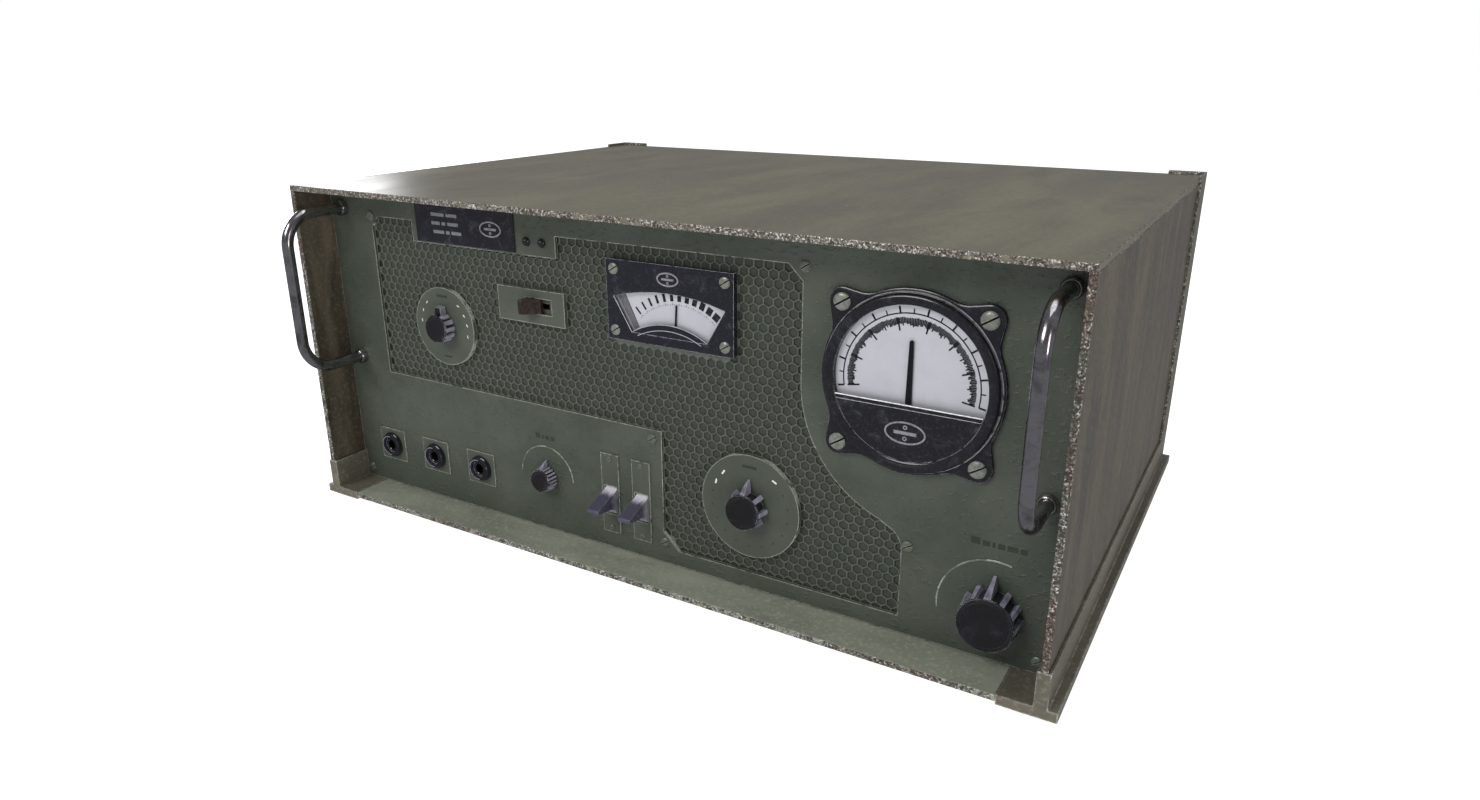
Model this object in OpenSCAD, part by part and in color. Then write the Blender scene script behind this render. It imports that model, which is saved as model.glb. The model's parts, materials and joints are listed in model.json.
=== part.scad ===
// Rack-style tube receiver: a steel case on skid rails with a recessed front panel.
// Case frame: x from the left side sheet, y from the case's front edge, z from the rails' underside.

/* [Case] */
// Width over the side sheets
case_w = 490; // [488:1:500]
// Depth of the case, front edge to rear edge
case_d = 350; // [345:1:380]
// Height of the top sheet's upper face over the rails' underside
case_h = 212; // [211:0.5:220]
// Thickness of the top and side sheets
sheet_t = 3.5; // [3:0.5:4]
// How far the front panel is set back
recess = 26; // [24:0.5:30]
// How far the rear panel is set in
rear_recess = 10; // [8:1:14]
// Height of the rubber feet
foot_h = 5; // [3:0.5:8]

/* [Front panel] */
// Thickness of the front panel
panel_t = 2; // [2:0.25:2.5]
// Thickness of the honeycomb plate
grille_t = 1.2; // [1:0.1:1.5]
// Thickness of the small control plates
plate_t = 0.8; // [0.6:0.1:1]

/* [Handles] */
// Distance between a handle's two feet
handle_gap = 100; // [95:1:102]
// How far the grip's axis stands in front of the panel
handle_reach = 44; // [40:0.5:50]
// Diameter of the handle rod
handle_d = 7; // [6:0.5:9]
// Radius of the handle's bends, to the rod's axis
handle_bend = 20; // [14:1:24]

/* [Controls] */
// Diameter of the selector knob
selector_d = 18; // [16:0.5:20]
// Diameter of the fine-tuning knob
fine_d = 15; // [14:0.5:17]
// Diameter of the tone knob
tone_d = 21; // [19:0.5:23]
// Diameter of the volume knob
volume_d = 29; // [26:0.5:30]
// Diameter of the control shafts
shaft_d = 6; // [5:0.25:6.5]
// Bore of the jack sockets
jack_bore = 6.5; // [6.4:0.05:6.8]

/* [Tuning drive] */
// Module of the drive gears
gear_module = 1; // [1:0.1:1.1]
// Teeth on the pinion
pinion_teeth = 16; // [14:1:18]
// Teeth on the drive gear
gear_teeth = 64; // [56:1:64]

/* [Hidden] */
$fn = 48;

eps = 0.01;
fit = 0.05;                 // running clearance of a shaft in its bore, on the radius
gap = 0.3;                  // clearance between parts that pass each other
post_t = 4;                 // thickness of a rear post's rear leg
mid_y = (case_d + post_t + recess - handle_reach - handle_d / 2) / 2;
mid_x = case_w / 2;
floor_z = [1.6, 5.1];       // underside and upper face of the floor sheet
top_z = case_h - sheet_t;   // underside of the top sheet
panel_y = recess;
panel_back = recess + panel_t;
grille_back = panel_back + grille_t;
backing_t = 0.8;
rear_y = case_d - rear_recess;
rear_t = 2.5;
deep = panel_t + grille_t + backing_t;  // panel face to the back of the backing sheet

// Skid rail section, measured from the side sheet's outer face
rail_lip = 6.5;
rail_flange = 22.5;
rail_base = 5.5;
rail_top = 24.6;
rail_skin = 1.7;
rail_nose = 2;              // solid front end of the rail's slot

// Front panel layout: [x, z] of each control's axis
selector_at = [98.3, 127.7];
fine_at = [174.7, 41];
tone_at = [319.8, 56.2];
volume_at = [456, 31.8];
jack_x = [36, 77.2, 118.4];
jack_z = 35.2;
selector_plate_r = 25;
tone_plate_r = 30.4;
boost_x = [224.4, 246.9];
boost_z = 37.2;
boost_plate = [12.8, 50.9];
boost_plate_z = 41.75;
boost_screw = 22.3;         // plate screws above and below the plate's middle
slide_plate = [146.2, 139.7, 197, 160.3];
slide_slot = [167.4, 145.9, 187.4, 155.1];
name_plate_at = [82.4, 180.7, 162.7, 204.5];
lamp_x = [171.5, 183];
lamp_z = 188;
level_at = [407.4, 142];
level_hole_gap = 71.7;      // screw spacing of the level meter, across and up
tuning_at = [270, 162];
tuning_size = [81.4, 45];
tuning_hole_gap = [71, 34.4];   // screw spacing of the tuning meter, across and up
handle_x = [15.3, case_w - 13.8];
handle_z = 146;
rotor_at = fine_at + [0, gear_module * (pinion_teeth + gear_teeth) / 2 + 0.1];
gear_y = [64, 68];

// Control shafts: how far each knob stands in front of the panel
selector_h = 9;
fine_h = 8;
tone_h = 10;
volume_h = 13.5;

// ---------- helpers ----------

module seat() translate([-mid_x, -mid_y, foot_h]) children();
module other_side() translate([case_w, 0, 0]) mirror([1, 0, 0]) children();
module block(lo, hi) translate(lo) cube(hi - lo);
// Children are drawn facing the operator: x right, y up, z out of the panel's face
module on_panel(at) translate([at[0], panel_y, at[1]]) rotate([90, 0, 0]) children();
// Extrudes an [x, z] outline from y0 to y1
module slab(y0, y1) translate([0, y1, 0]) rotate([90, 0, 0]) linear_extrude(y1 - y0) children();
// A round bar along y, with its axis at [x, z]
module rod(at, r, y0, y1)
    translate([at[0], y0, at[1]]) rotate([-90, 0, 0]) cylinder(r = r, h = y1 - y0);
module ring(r_in, r_out, h) {
    difference() {
        cylinder(r = r_out, h = h);
        translate([0, 0, -1]) cylinder(r = r_in, h = h + 2);
    }
}
module frame2d(r) translate([r[0], r[1]]) square([r[2] - r[0], r[3] - r[1]]);
function arc(c, r, a0, a1, n) =
    [for (i = [0 : n]) let (a = a0 + (a1 - a0) * i / n) c + r * [cos(a), sin(a)]];
function corners(at, size) =
    [for (sx = [-1, 1], sz = [-1, 1]) at + [sx * size[0] / 2, sz * size[1] / 2]];

module slotted_head(r, h, slot) {
    slot_turn = 32;
    difference() {
        union() {
            cylinder(r = r, h = h * 0.5);
            translate([0, 0, h * 0.5]) cylinder(r1 = r, r2 = r * 0.72, h = h * 0.5);
        }
        rotate([0, 0, slot_turn]) translate([-r - 1, -slot / 2, h * 0.45]) cube([2 * r + 2, slot, h]);
    }
}
module screw(r, h, slot, shank_r, shank) {
    slotted_head(r, h, slot);
    translate([0, 0, -shank]) cylinder(r = shank_r, h = shank + eps);
}

// ---------- case ----------

case_steel = [0.36, 0.35, 0.30];
panel_green = [0.25, 0.30, 0.24];
bakelite = [0.08, 0.08, 0.10];
brown = [0.20, 0.12, 0.09];
polished = [0.62, 0.62, 0.62];
dial_white = [0.85, 0.85, 0.86];
needle_black = [0.10, 0.10, 0.12];
clear = [0.90, 0.92, 0.95, 0.25];

module top_cover() seat() color(case_steel) block([0, 0, top_z], [case_w, case_d, case_h]);

module side_panel() {
    difference() {
        block([0, 0, rail_base + eps], [sheet_t, case_d, top_z]);
        block([-1, -1, 0], [sheet_t + 1, rail_nose + eps, rail_top]);
    }
}
module left_side_panel() seat() color(case_steel) side_panel();
module right_side_panel() seat() color(case_steel) other_side() side_panel();

module floor_pan() seat() color(case_steel)
    block([rail_flange, 0, floor_z[0]], [case_w - rail_flange, case_d, floor_z[1]]);

// Clears the rails at the lower corners of a panel between the side sheets
module rail_notches(y0, y1) for (side = [0, 1]) translate([side * case_w, 0, 0]) mirror([side, 0, 0]) {
    block([0, y0, 0], [sheet_t + rail_skin + 0.1, y1, rail_top + 0.2]);
    block([0, y0, 0], [rail_flange + 0.1, y1, rail_base + 0.1]);
}

module rear_panel() {
    vents = 16;
    vent_pitch = 9;
    vent = [4, 60];
    vent_z = 110;
    vent_banks = [150, 290];
    seat() color(case_steel) difference() {
        block([sheet_t, rear_y, floor_z[1] + eps], [case_w - sheet_t, rear_y + rear_t, top_z]);
        rail_notches(rear_y - 1, rear_y + rear_t + 1);
        for (bank = vent_banks, i = [0 : vents - 1])
            translate([bank + (i - (vents - 1) / 2) * vent_pitch - vent[0] / 2, rear_y - 1, vent_z])
                cube([vent[0], rear_t + 2, vent[1]]);
        rod(gland_at, gland_seat, rear_y - 1, rear_y + rear_t + 1);
        rod(fuse_at, fuse_r, rear_y - 1, rear_y + rear_t + 1);
        for (at = terminal_at) rod(at, terminal_bush, rear_y - 1, rear_y + rear_t + 1);
    }
}

module skid_rail() {
    length = case_d + post_t;
    difference() {
        union() {
            block([-rail_lip, 0, 0], [rail_flange, length, rail_base]);
            block([-rail_skin, 0, rail_base - eps], [sheet_t + rail_skin, length, rail_top]);
        }
        block([0, rail_nose, rail_base], [sheet_t, length + 1, rail_top + 1]);
    }
}
module left_skid_rail() seat() color(case_steel) skid_rail();
module right_skid_rail() seat() color(case_steel) other_side() skid_rail();

module rear_post() {
    depth = 22.5;
    rise = 2;
    block([-rail_skin, case_d - depth, rail_top], [0, case_d + post_t, case_h + rise]);
    block([-eps, case_d, rail_top], [rail_flange, case_d + post_t, case_h + rise]);
}
module left_rear_post() seat() color(case_steel) rear_post();
module right_rear_post() seat() color(case_steel) other_side() rear_post();

module rubber_feet() {
    foot_r = 9;
    inset = [13, 22];
    dimple_r = 3;
    dimple_h = 1.5;
    seat() color([0.06, 0.06, 0.06])
        for (x = [inset[0], case_w - inset[0]], y = [inset[1], case_d - inset[1]])
            translate([x, y, -foot_h]) difference() {
                cylinder(r1 = foot_r - 1.5, r2 = foot_r, h = foot_h);
                translate([0, 0, -1]) cylinder(r = dimple_r, h = dimple_h + 1);
            }
}

// ---------- front panel and grille ----------

grille_x = [41, 262, 349, 407.5];
grille_z = [15.5, 88.5, 192.5];
grille_notch = [77.4, 179.7, 192.5];
sweep_c = [419, 133];
sweep_r = 70;

// Outline of the grille opening, or of the plate behind it when it is grown by m
function grille_outline(m) = concat(
    [[grille_x[0] - m, grille_z[2] + m - 6], [grille_x[0] - m + 6, grille_z[2] + m]],
    m > 0 ? [] : [
        [grille_notch[0], grille_z[2]], [grille_notch[0], grille_notch[1]],
        [grille_notch[2], grille_notch[1]], [grille_notch[2], grille_z[2]]],
    [[grille_x[2] + m - 8, grille_z[2] + m], [grille_x[2] + m, grille_z[2] + m - 8]],
    arc(sweep_c, sweep_r - m, 180, 250, 20),
    arc([395 + m, 53], 12.5, 70, 0, 6),
    [[grille_x[3] + m, grille_z[0] - m], [grille_x[1] - m + 10, grille_z[0] - m],
     [grille_x[1] - m, grille_z[0] - m + 10], [grille_x[1] - m, grille_z[1] - m],
     [grille_x[0] - m, grille_z[1] - m]]
);

small_screws = [[40.2, 192.7], [350.3, 192.1], [255.7, 83], [262.7, 19.1], [410.9, 56.3],
                [10.2, 12.6], [479.6, 12.2]];
small_shank = 1.4;
shaft_bush = shaft_d / 2 + 1.9;
slot_frame = slide_slot + [-2, -1.5, 2, 1.5];
tuning_hole = [tuning_at[0] - 36, tuning_at[1] - 21, tuning_at[0] + 36, tuning_at[1] + 14];
lever_slot = [9.2, 18.2];
lever_slot_up = 0.4;        // how far the lever's slot sits above its pivot
boost_shank = 0.8;
boost_screw_at = [for (x = boost_x, s = [-1, 1]) [x, boost_plate_z + s * boost_screw]];
meter_hole_r = 1.7;         // clearance hole of the tuning meter's screws
lamp_hole_r = 1.9;
can_r = 35;
jack_bush = 5.5;

module front_panel() {
    side = 0.2;
    lower = 0.6;
    seat() color(panel_green) difference() {
        block([sheet_t + side, panel_y, floor_z[1] + lower],
              [case_w - sheet_t - side, panel_back, top_z - side]);
        rail_notches(panel_y - 1, panel_back + 1);
        slab(panel_y - 1, panel_back + 1) polygon(grille_outline(0));
        rod(level_at, can_r + 0.5, panel_y - 1, panel_back + 1);
        for (at = corners(level_at, [level_hole_gap, level_hole_gap]))
            rod(at, 2.1, panel_y - 1, panel_back + 1);
        for (at = [fine_at, volume_at]) rod(at, shaft_bush + 0.1, panel_y - 1, panel_back + 1);
        for (x = jack_x) rod([x, jack_z], jack_bush + 0.1, panel_y - 1, panel_back + 1);
        for (x = boost_x) slab(panel_y - 1, panel_back + 1)
            translate([x - lever_slot[0] / 2, boost_z + lever_slot_up - lever_slot[1] / 2])
                square(lever_slot);
        for (x = handle_x, s = [-1, 1])
            rod([x, handle_z + s * handle_gap / 2], 2.6, panel_y - 1, panel_back + 1);
        for (at = small_screws) rod(at, small_shank + fit, panel_y - 1, panel_back + 1);
        for (at = boost_screw_at) rod(at, boost_shank + fit, panel_y - 1, panel_back + 1);
        for (x = lamp_x) rod([x, lamp_z], lamp_hole_r, panel_y - 1, panel_back + 1);
    }
}

module grille_cut() {
    for (at = [selector_at, tone_at]) rod(at, shaft_bush + 0.1, panel_back - 1, grille_back + 2);
    slab(panel_back - 1, grille_back + 2) {
        frame2d(slot_frame);
        frame2d(tuning_hole);
    }
    for (at = small_screws) rod(at, small_shank + fit, panel_back - 1, grille_back + 2);
    for (x = lamp_x) rod([x, lamp_z], lamp_hole_r, panel_back - 1, grille_back + 2);
    for (at = corners(tuning_at, tuning_hole_gap)) rod(at, meter_hole_r, panel_back - 1, grille_back + 2);
}

module honeycomb_grille() seat() color([0.22, 0.25, 0.21]) difference() {
    slab(panel_back, grille_back) polygon(grille_outline(5));
    grille_cut();
}
module grille_backing() seat() color([0.10, 0.11, 0.10]) difference() {
    slab(grille_back, grille_back + backing_t) polygon(grille_outline(5));
    grille_cut();
}

module name_plate() seat() color([0.07, 0.07, 0.09])
    slab(panel_y - 1, panel_y) frame2d(name_plate_at);

module indicator_lamps() seat() color(polished) for (x = lamp_x) on_panel([x, lamp_z]) {
    dome_r = 2.7;
    body = 8;
    intersection() {
        sphere(r = dome_r);
        cylinder(r = dome_r + 1, h = dome_r);
    }
    translate([0, 0, -body]) cylinder(r = lamp_hole_r - 0.1, h = body + eps);
}

module dial_plate(at, r) on_panel(at) translate([0, 0, -panel_t])
    ring(shaft_bush + 0.1, r, panel_t + plate_t);
module selector_dial_plate() seat() color(panel_green) dial_plate(selector_at, selector_plate_r);
module tone_dial_plate() seat() color(panel_green) dial_plate(tone_at, tone_plate_r);

module control_plates() {
    jack_plate = [23.4, 22.4];
    seat() color(panel_green) {
        for (x = jack_x) on_panel([x, jack_z]) difference() {
            translate([-jack_plate[0] / 2, -jack_plate[1] / 2, 0])
                cube([jack_plate[0], jack_plate[1], plate_t]);
            translate([0, 0, -1]) cylinder(r = jack_bush + 0.1, h = 3);
        }
        for (x = boost_x) on_panel([x, boost_plate_z]) difference() {
            translate([-boost_plate[0] / 2, -boost_plate[1] / 2, 0])
                cube([boost_plate[0], boost_plate[1], plate_t]);
            translate([-lever_slot[0] / 2, boost_z + lever_slot_up - boost_plate_z - lever_slot[1] / 2, -1])
                cube([lever_slot[0], lever_slot[1], 3]);
            for (s = [-1, 1]) translate([0, s * boost_screw, -1]) cylinder(r = boost_shank + fit, h = 3);
        }
        difference() {
            slab(panel_y - plate_t, panel_back) frame2d(slide_plate);
            slab(panel_y - 3, panel_back + 1) frame2d(slide_slot);
        }
    }
}

// ---------- knobs and shafts ----------

nut_r = 5.6;
nut_h = 1.4;
knob_bevel = 0.7;           // edge of a knob's front face
plate_base = plate_t + gap; // underside of a knob over its dial plate
bare_base = gap + 0.1;      // underside of a knob over the bare panel

// Fluted knob: a round body with grooves and a bevelled front face
module fluted_knob(d, h, base, flutes, depth) {
    r = d / 2;
    difference() {
        union() {
            translate([0, 0, base]) cylinder(r = r, h = h - base - knob_bevel);
            translate([0, 0, h - knob_bevel - eps])
                cylinder(r1 = r, r2 = r - knob_bevel, h = knob_bevel + eps);
        }
        for (i = [0 : flutes - 1]) rotate([0, 0, (i + 0.5) * 360 / flutes])
            translate([r + depth * 0.3, 0, base - 1]) cylinder(r = depth, h = h - base + 0.2);
    }
}
// Ribbed knob: a core with radial ribs that lean out towards the panel, and a disc in front
module ribbed_knob(d, h, base, ribs, flare) {
    r = d / 2;
    core = r - 1.4;
    disc_t = 1.5;
    rib_w = 0.22 * r;
    translate([0, 0, base]) cylinder(r = core, h = h - base - 1);
    translate([0, 0, h - knob_bevel - disc_t]) cylinder(r = r, h = disc_t);
    translate([0, 0, h - knob_bevel - eps]) cylinder(r1 = r, r2 = r - knob_bevel, h = knob_bevel + eps);
    for (i = [1 : ribs - 1]) rotate([0, 0, 90 + i * 360 / ribs])
        rotate([90, 0, 0]) translate([0, 0, -rib_w / 2]) linear_extrude(rib_w)
            polygon([[core - 1, base], [r + flare, base], [r, h - disc_t], [core - 1, h - disc_t]]);
}
// Pointer fin: leans from the knob's face down to a tip near the panel
module pointer_fin(r, h, base, reach, width) {
    root = r - 2;
    tip = r + reach;
    top = h - knob_bevel;
    rotate([90, 0, 90]) translate([0, 0, -width / 2]) linear_extrude(width)
        polygon([[root, base], [tip, base], [tip - 0.6, base + 1.2], [r - 0.2, top], [root, top]]);
}
// Cuts a knob's bore, to 2 mm below its face, and the hollow that clears the bush nut
module bored(h, base) {
    difference() {
        children();
        translate([0, 0, -1]) cylinder(r = shaft_d / 2 + eps, h = h - 2 + 1);
        translate([0, 0, -1]) cylinder(r = nut_r + 0.5, h = base + nut_h + 1.2);
    }
}

module selector_knob() {
    bar = [4.8, 6.6, 5];
    bar_from = 7;
    seat() color(bakelite) on_panel(selector_at) bored(selector_h, plate_base) union() {
        fluted_knob(selector_d, selector_h, plate_base, 12, 1.3);
        translate([-bar[0] / 2, bar_from, plate_base]) cube(bar);
    }
}
module fine_knob() seat() color(bakelite) on_panel(fine_at) bored(fine_h, bare_base) union() {
    fluted_knob(fine_d, fine_h, bare_base, 20, 0.8);
    pointer_fin(fine_d / 2, fine_h, bare_base, 4, 2.6);
}
module tone_knob() seat() color(bakelite) on_panel(tone_at) bored(tone_h, plate_base) union() {
    ribbed_knob(tone_d, tone_h, plate_base, 8, 2.2);
    pointer_fin(tone_d / 2, tone_h, plate_base, 6, 2.8);
}
module volume_knob() seat() color(bakelite) on_panel(volume_at) bored(volume_h, bare_base) union() {
    ribbed_knob(volume_d, volume_h, bare_base, 10, 1.4);
    pointer_fin(volume_d / 2, volume_h, bare_base, 6.5, 3.4);
}

// A shaft from inside its knob, 2 mm below the knob's face, to `back` behind the panel's face
module shaft(at, h, back) on_panel(at)
    translate([0, 0, -back]) cylinder(r = shaft_d / 2, h = back + h - 2);
switch_reach = 44;          // length of the selector's shaft behind the panel's face
pot_reach = 20;             // length of a potentiometer's shaft behind the panel's face
module selector_shaft() seat() color(polished) shaft(selector_at, selector_h, switch_reach);
module fine_shaft() seat() color(polished) shaft(fine_at, fine_h, gear_y[1] + 3 - panel_y);
module tone_shaft() seat() color(polished) shaft(tone_at, tone_h, pot_reach);
module volume_shaft() seat() color(polished) shaft(volume_at, volume_h, pot_reach);

// Bush with a nut on the operator's side; its flange bears on the back of the stack
module bush(front, behind, tail) {
    low = -behind - tail;
    high = front + nut_h;
    flange = shaft_bush + 2.5;
    difference() {
        union() {
            translate([0, 0, low]) cylinder(r = shaft_bush, h = high - low);
            translate([0, 0, front]) cylinder(r = nut_r, h = nut_h, $fn = 6);
            translate([0, 0, low]) cylinder(r = flange, h = tail);
        }
        translate([0, 0, low - 1]) cylinder(r = shaft_d / 2 + fit, h = high - low + 2);
    }
}
module pot_body(behind) {
    pot_r = 12;
    pot_h = 11;
    lug = [2, 7, 0.6];
    lug_pitch = 5;
    translate([0, 0, -behind - 1 - pot_h]) ring(shaft_d / 2 + fit, pot_r, pot_h);
    for (i = [-1, 0, 1]) translate([i * lug_pitch - lug[0] / 2, 1 - pot_r - lug[1], -behind - 4]) cube(lug);
}
module potentiometers() seat() color([0.45, 0.42, 0.35]) {
    on_panel(tone_at) {
        bush(plate_t, deep, 1);
        pot_body(deep);
    }
    on_panel(volume_at) {
        bush(0, panel_t, 1);
        pot_body(panel_t);
    }
    on_panel(fine_at) bush(0, panel_t, 8);
}

module rotary_switch() {
    wafer_r = 16;
    wafer_t = 1.6;
    wafers = [12, 24];
    index_r = 14;
    post_r = 1.2;
    post_at = 12;
    seat() color([0.40, 0.30, 0.16]) on_panel(selector_at) {
        bush(plate_t, deep, 1);
        translate([0, 0, -deep - 5]) ring(shaft_d / 2 + fit, index_r, 4 + eps);
        for (w = wafers) translate([0, 0, -deep - w]) ring(shaft_d / 2 + 1, wafer_r, wafer_t);
        for (s = [-1, 1]) translate([s * post_at, 0, -deep - 28]) cylinder(r = post_r, h = 24);
    }
}

// ---------- switches and jacks ----------

slide_travel = 7.2;
slide_sunk = 0.9;           // how deep the button's block sits in its slot
slide_stem = [6, 3, 13.2];
module slide_button() {
    long = slide_slot[2] - slide_slot[0] - slide_travel - 2 * gap;
    tall = slide_slot[3] - slide_slot[1] - 2 * gap;
    seat() color(brown) on_panel([slide_slot[0] + gap, (slide_slot[1] + slide_slot[3]) / 2]) {
        rotate([90, 0, 0]) translate([0, 0, -tall / 2]) linear_extrude(tall)
            polygon([[0, -slide_sunk], [long, -slide_sunk], [long, 1.5], [3.2, 7.6], [1.6, 8], [0, 7.4]]);
        translate([(long - slide_stem[0]) / 2, -slide_stem[1] / 2, eps - slide_sunk - slide_stem[2]])
            cube(slide_stem);
    }
}

pivot_back = 6;             // lever pivot behind the panel's face
pin_r = 1.5;
lever_w = 8.4;
hub_r = 10.1;               // the lever's shoulder turns about the pivot and fills the slot above it
module boost_lever(x) seat() color(bakelite) on_panel([x, boost_z]) difference() {
    rotate([90, 0, 90]) translate([0, 0, -lever_w / 2]) linear_extrude(lever_w)
        polygon(concat(
            [[6.9, 1.8], [0.9, 18.2], [0.2, 18.6], [-1.3, 18.4], [-1.8, 17.8],
             [-2.9, 6.5], [-4.4, 3], [-7.6, 1.2], [-8, 0.2], [-5.6, -4], [-2, -pivot_back - 4],
             [2, -pivot_back - 4], [5.6, -4]],
            arc([0, -pivot_back], hub_r, 21, 38, 6)));
    translate([-lever_w, 0, -pivot_back]) rotate([0, 90, 0]) cylinder(r = pin_r + fit, h = 2 * lever_w);
}
module left_boost_lever() boost_lever(boost_x[0]);
module right_boost_lever() boost_lever(boost_x[1]);

// Body of a boost switch: two cheeks behind the panel that hold the lever's pin, and a contact block
module boost_switch_body() {
    cheek = 1;
    reach = 14;
    tall = 24;
    block_t = 9;
    inner = lever_w / 2 + gap;
    for (s = [-1, 1]) translate([s * (inner + cheek / 2) - cheek / 2, -tall / 2, -panel_t - reach])
        cube([cheek, tall, reach]);
    translate([-inner - eps, -tall / 2, -panel_t - reach - block_t + 1])
        cube([2 * inner + 2 * eps, tall, block_t]);
    translate([-inner - cheek, 0, -pivot_back]) rotate([0, 90, 0])
        cylinder(r = pin_r, h = 2 * (inner + cheek));
}
// Body of the slide switch: a neck in the plate's slot, a wider block behind and a slot for the stem
module slide_switch_body() {
    side = 0.05;
    front = panel_y + slide_sunk + gap;
    back = grille_back + 16;
    mid = (slide_slot[1] + slide_slot[3]) / 2;
    half = slide_stem[1] / 2 + gap;
    end_wall = 2.8;
    difference() {
        union() {
            slab(front, back) frame2d(slide_slot + side * [1, 1, -1, -1]);
            slab(grille_back + backing_t + 1, back) frame2d(slide_slot + [-4, -2, 4, 2]);
        }
        block([slide_slot[0] + end_wall, front - 1, mid - half],
              [slide_slot[2] - end_wall, back - 1.5, mid + half]);
    }
}
module switch_bodies() seat() color([0.35, 0.34, 0.32]) {
    for (x = boost_x) on_panel([x, boost_z]) boost_switch_body();
    slide_switch_body();
}

module jack_sockets() {
    nut = 8;
    rim = 4.4;
    well = 5;
    well_deep = 1.8;
    body = [17, 20, 20];
    seat() color(bakelite) for (x = jack_x) on_panel([x, jack_z]) difference() {
        union() {
            translate([0, 0, plate_t]) cylinder(r = nut + 0.6, h = 0.9);
            translate([0, 0, plate_t]) cylinder(r = nut, h = 1.7);
            translate([0, 0, plate_t]) cylinder(r = nut - 0.45, h = rim - plate_t - 0.6);
            translate([0, 0, rim - 1.3]) cylinder(r = nut - 0.1, h = 0.8);
            translate([0, 0, rim - 0.5 - eps]) cylinder(r1 = nut - 0.1, r2 = nut - 0.8, h = 0.5 + eps);
            translate([0, 0, -panel_t - 1]) cylinder(r = jack_bush, h = panel_t + plate_t + 1 + eps);
            translate([-body[0] / 2, -body[1] / 2, -panel_t - body[2]]) cube(body - [0, 0, eps]);
        }
        translate([0, 0, rim - well_deep]) cylinder(r = well, h = well_deep + 1);
        translate([0, 0, -panel_t - body[2] - 1])
            cylinder(r = jack_bore / 2, h = body[2] + panel_t + rim + 2);
    }
}

// ---------- level meter (round) ----------

level_ring = [38.6, 44];    // inner and outer radius of the raised rim
level_flange_t = 2.5;
level_rim_h = 6;
level_ledge = 0.8;          // the dial's seat in front of the panel's face
level_dial_t = 0.8;
level_glaze = 3.5;          // underside of the window and of the cover
level_chord = -9.7;         // cover's upper edge below the meter's centre
level_pivot = -14;          // needle pivot below the meter's centre
spindle_r = 0.8;            // spindle of either meter's needle
level_bridge = [-11, -7];   // bearing bridge behind the dial

module level_meter_housing() {
    flange = 46.3;
    ear = 7.2;
    flare_r = 36;
    ear_reach = level_hole_gap / sqrt(2);
    flare_a = acos((flare_r - ear) / ear_reach);
    flank_a = flare_a - acos(flare_r / flange);
    outline = [for (a = [45 : 90 : 315]) each concat(
        arc(ear_reach * [cos(a), sin(a)], ear, a - flare_a, a + flare_a, 14),
        arc([0, 0], flange, a + flank_a, a + 90 - flank_a, 18))];
    can_d = 34;
    wall = 1.5;
    screw_at = corners([0, 0], [level_hole_gap, level_hole_gap]);
    seat() color(bakelite) on_panel(level_at) {
        difference() {
            union() {
                linear_extrude(level_flange_t) polygon(outline);
                cylinder(r = level_ring[1], h = level_rim_h - 1);
                translate([0, 0, level_rim_h - 1 - eps])
                    cylinder(r1 = level_ring[1], r2 = level_ring[1] - 1.6, h = 1 + eps);
                translate([0, 0, -can_d]) cylinder(r = can_r, h = can_d + eps);
            }
            translate([0, 0, level_ledge]) cylinder(r = level_ring[0], h = level_rim_h);
            translate([0, 0, wall - can_d]) cylinder(r = can_r - wall, h = can_d);
            for (at = screw_at) translate([at[0], at[1], -1]) cylinder(r = 2.1, h = level_flange_t + 2);
        }
        difference() {
            intersection() {
                translate([-can_r, level_pivot - 4, level_bridge[0]])
                    cube([2 * can_r, 8, level_bridge[1] - level_bridge[0]]);
                translate([0, 0, -can_d]) cylinder(r = can_r - wall / 2, h = can_d);
            }
            translate([0, level_pivot, level_bridge[0] - 1]) cylinder(r = spindle_r + fit, h = 8);
        }
    }
}
module level_meter_dial() seat() color(dial_white) on_panel(level_at) difference() {
    translate([0, 0, level_ledge]) cylinder(r = level_ring[0] - 0.05, h = level_dial_t);
    translate([0, level_pivot, 0]) cylinder(r = spindle_r + gap, h = 3);
}
module level_meter_needle() {
    tip = 35.5;
    blade_t = 0.4;
    blade_z = level_ledge + level_dial_t + 0.6;
    root_w = 3.3;
    tip_w = 2.1;
    hub_r = 2.4;
    weight = [9.2, 6, 1.2];
    weight_y = -12;
    seat() color(needle_black) on_panel(level_at) translate([0, level_pivot, 0]) {
        translate([0, 0, level_bridge[0] - 1])
            cylinder(r = spindle_r, h = level_glaze - gap - level_bridge[0] + 1);
        translate([0, 0, blade_z - 0.3]) cylinder(r = hub_r, h = 1.1);
        translate([0, 0, blade_z]) linear_extrude(blade_t)
            polygon([[-0.8, weight_y + 1], [0.8, weight_y + 1], [root_w / 2, 0],
                     [tip_w / 2, tip - 0.8], [tip_w / 4, tip], [-tip_w / 4, tip],
                     [-tip_w / 2, tip - 0.8], [-root_w / 2, 0]]);
        translate([-weight[0] / 2, weight_y, blade_z - 0.3]) cube(weight);
    }
}
// Part of the glazing above or below the cover's upper edge
module level_segment(low, high, thick) on_panel(level_at) intersection() {
    translate([0, 0, level_glaze]) cylinder(r = level_ring[0] - 0.05, h = thick);
    translate([-level_ring[1], low, 0]) cube([2 * level_ring[1], high - low, 10]);
}
module level_meter_window() seat() color(clear) level_segment(level_chord, level_ring[1], 0.8);
module level_meter_cover() seat() color(bakelite) level_segment(-level_ring[1], level_chord - eps, 1.7);

// ---------- tuning meter (fan window) ----------

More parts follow.
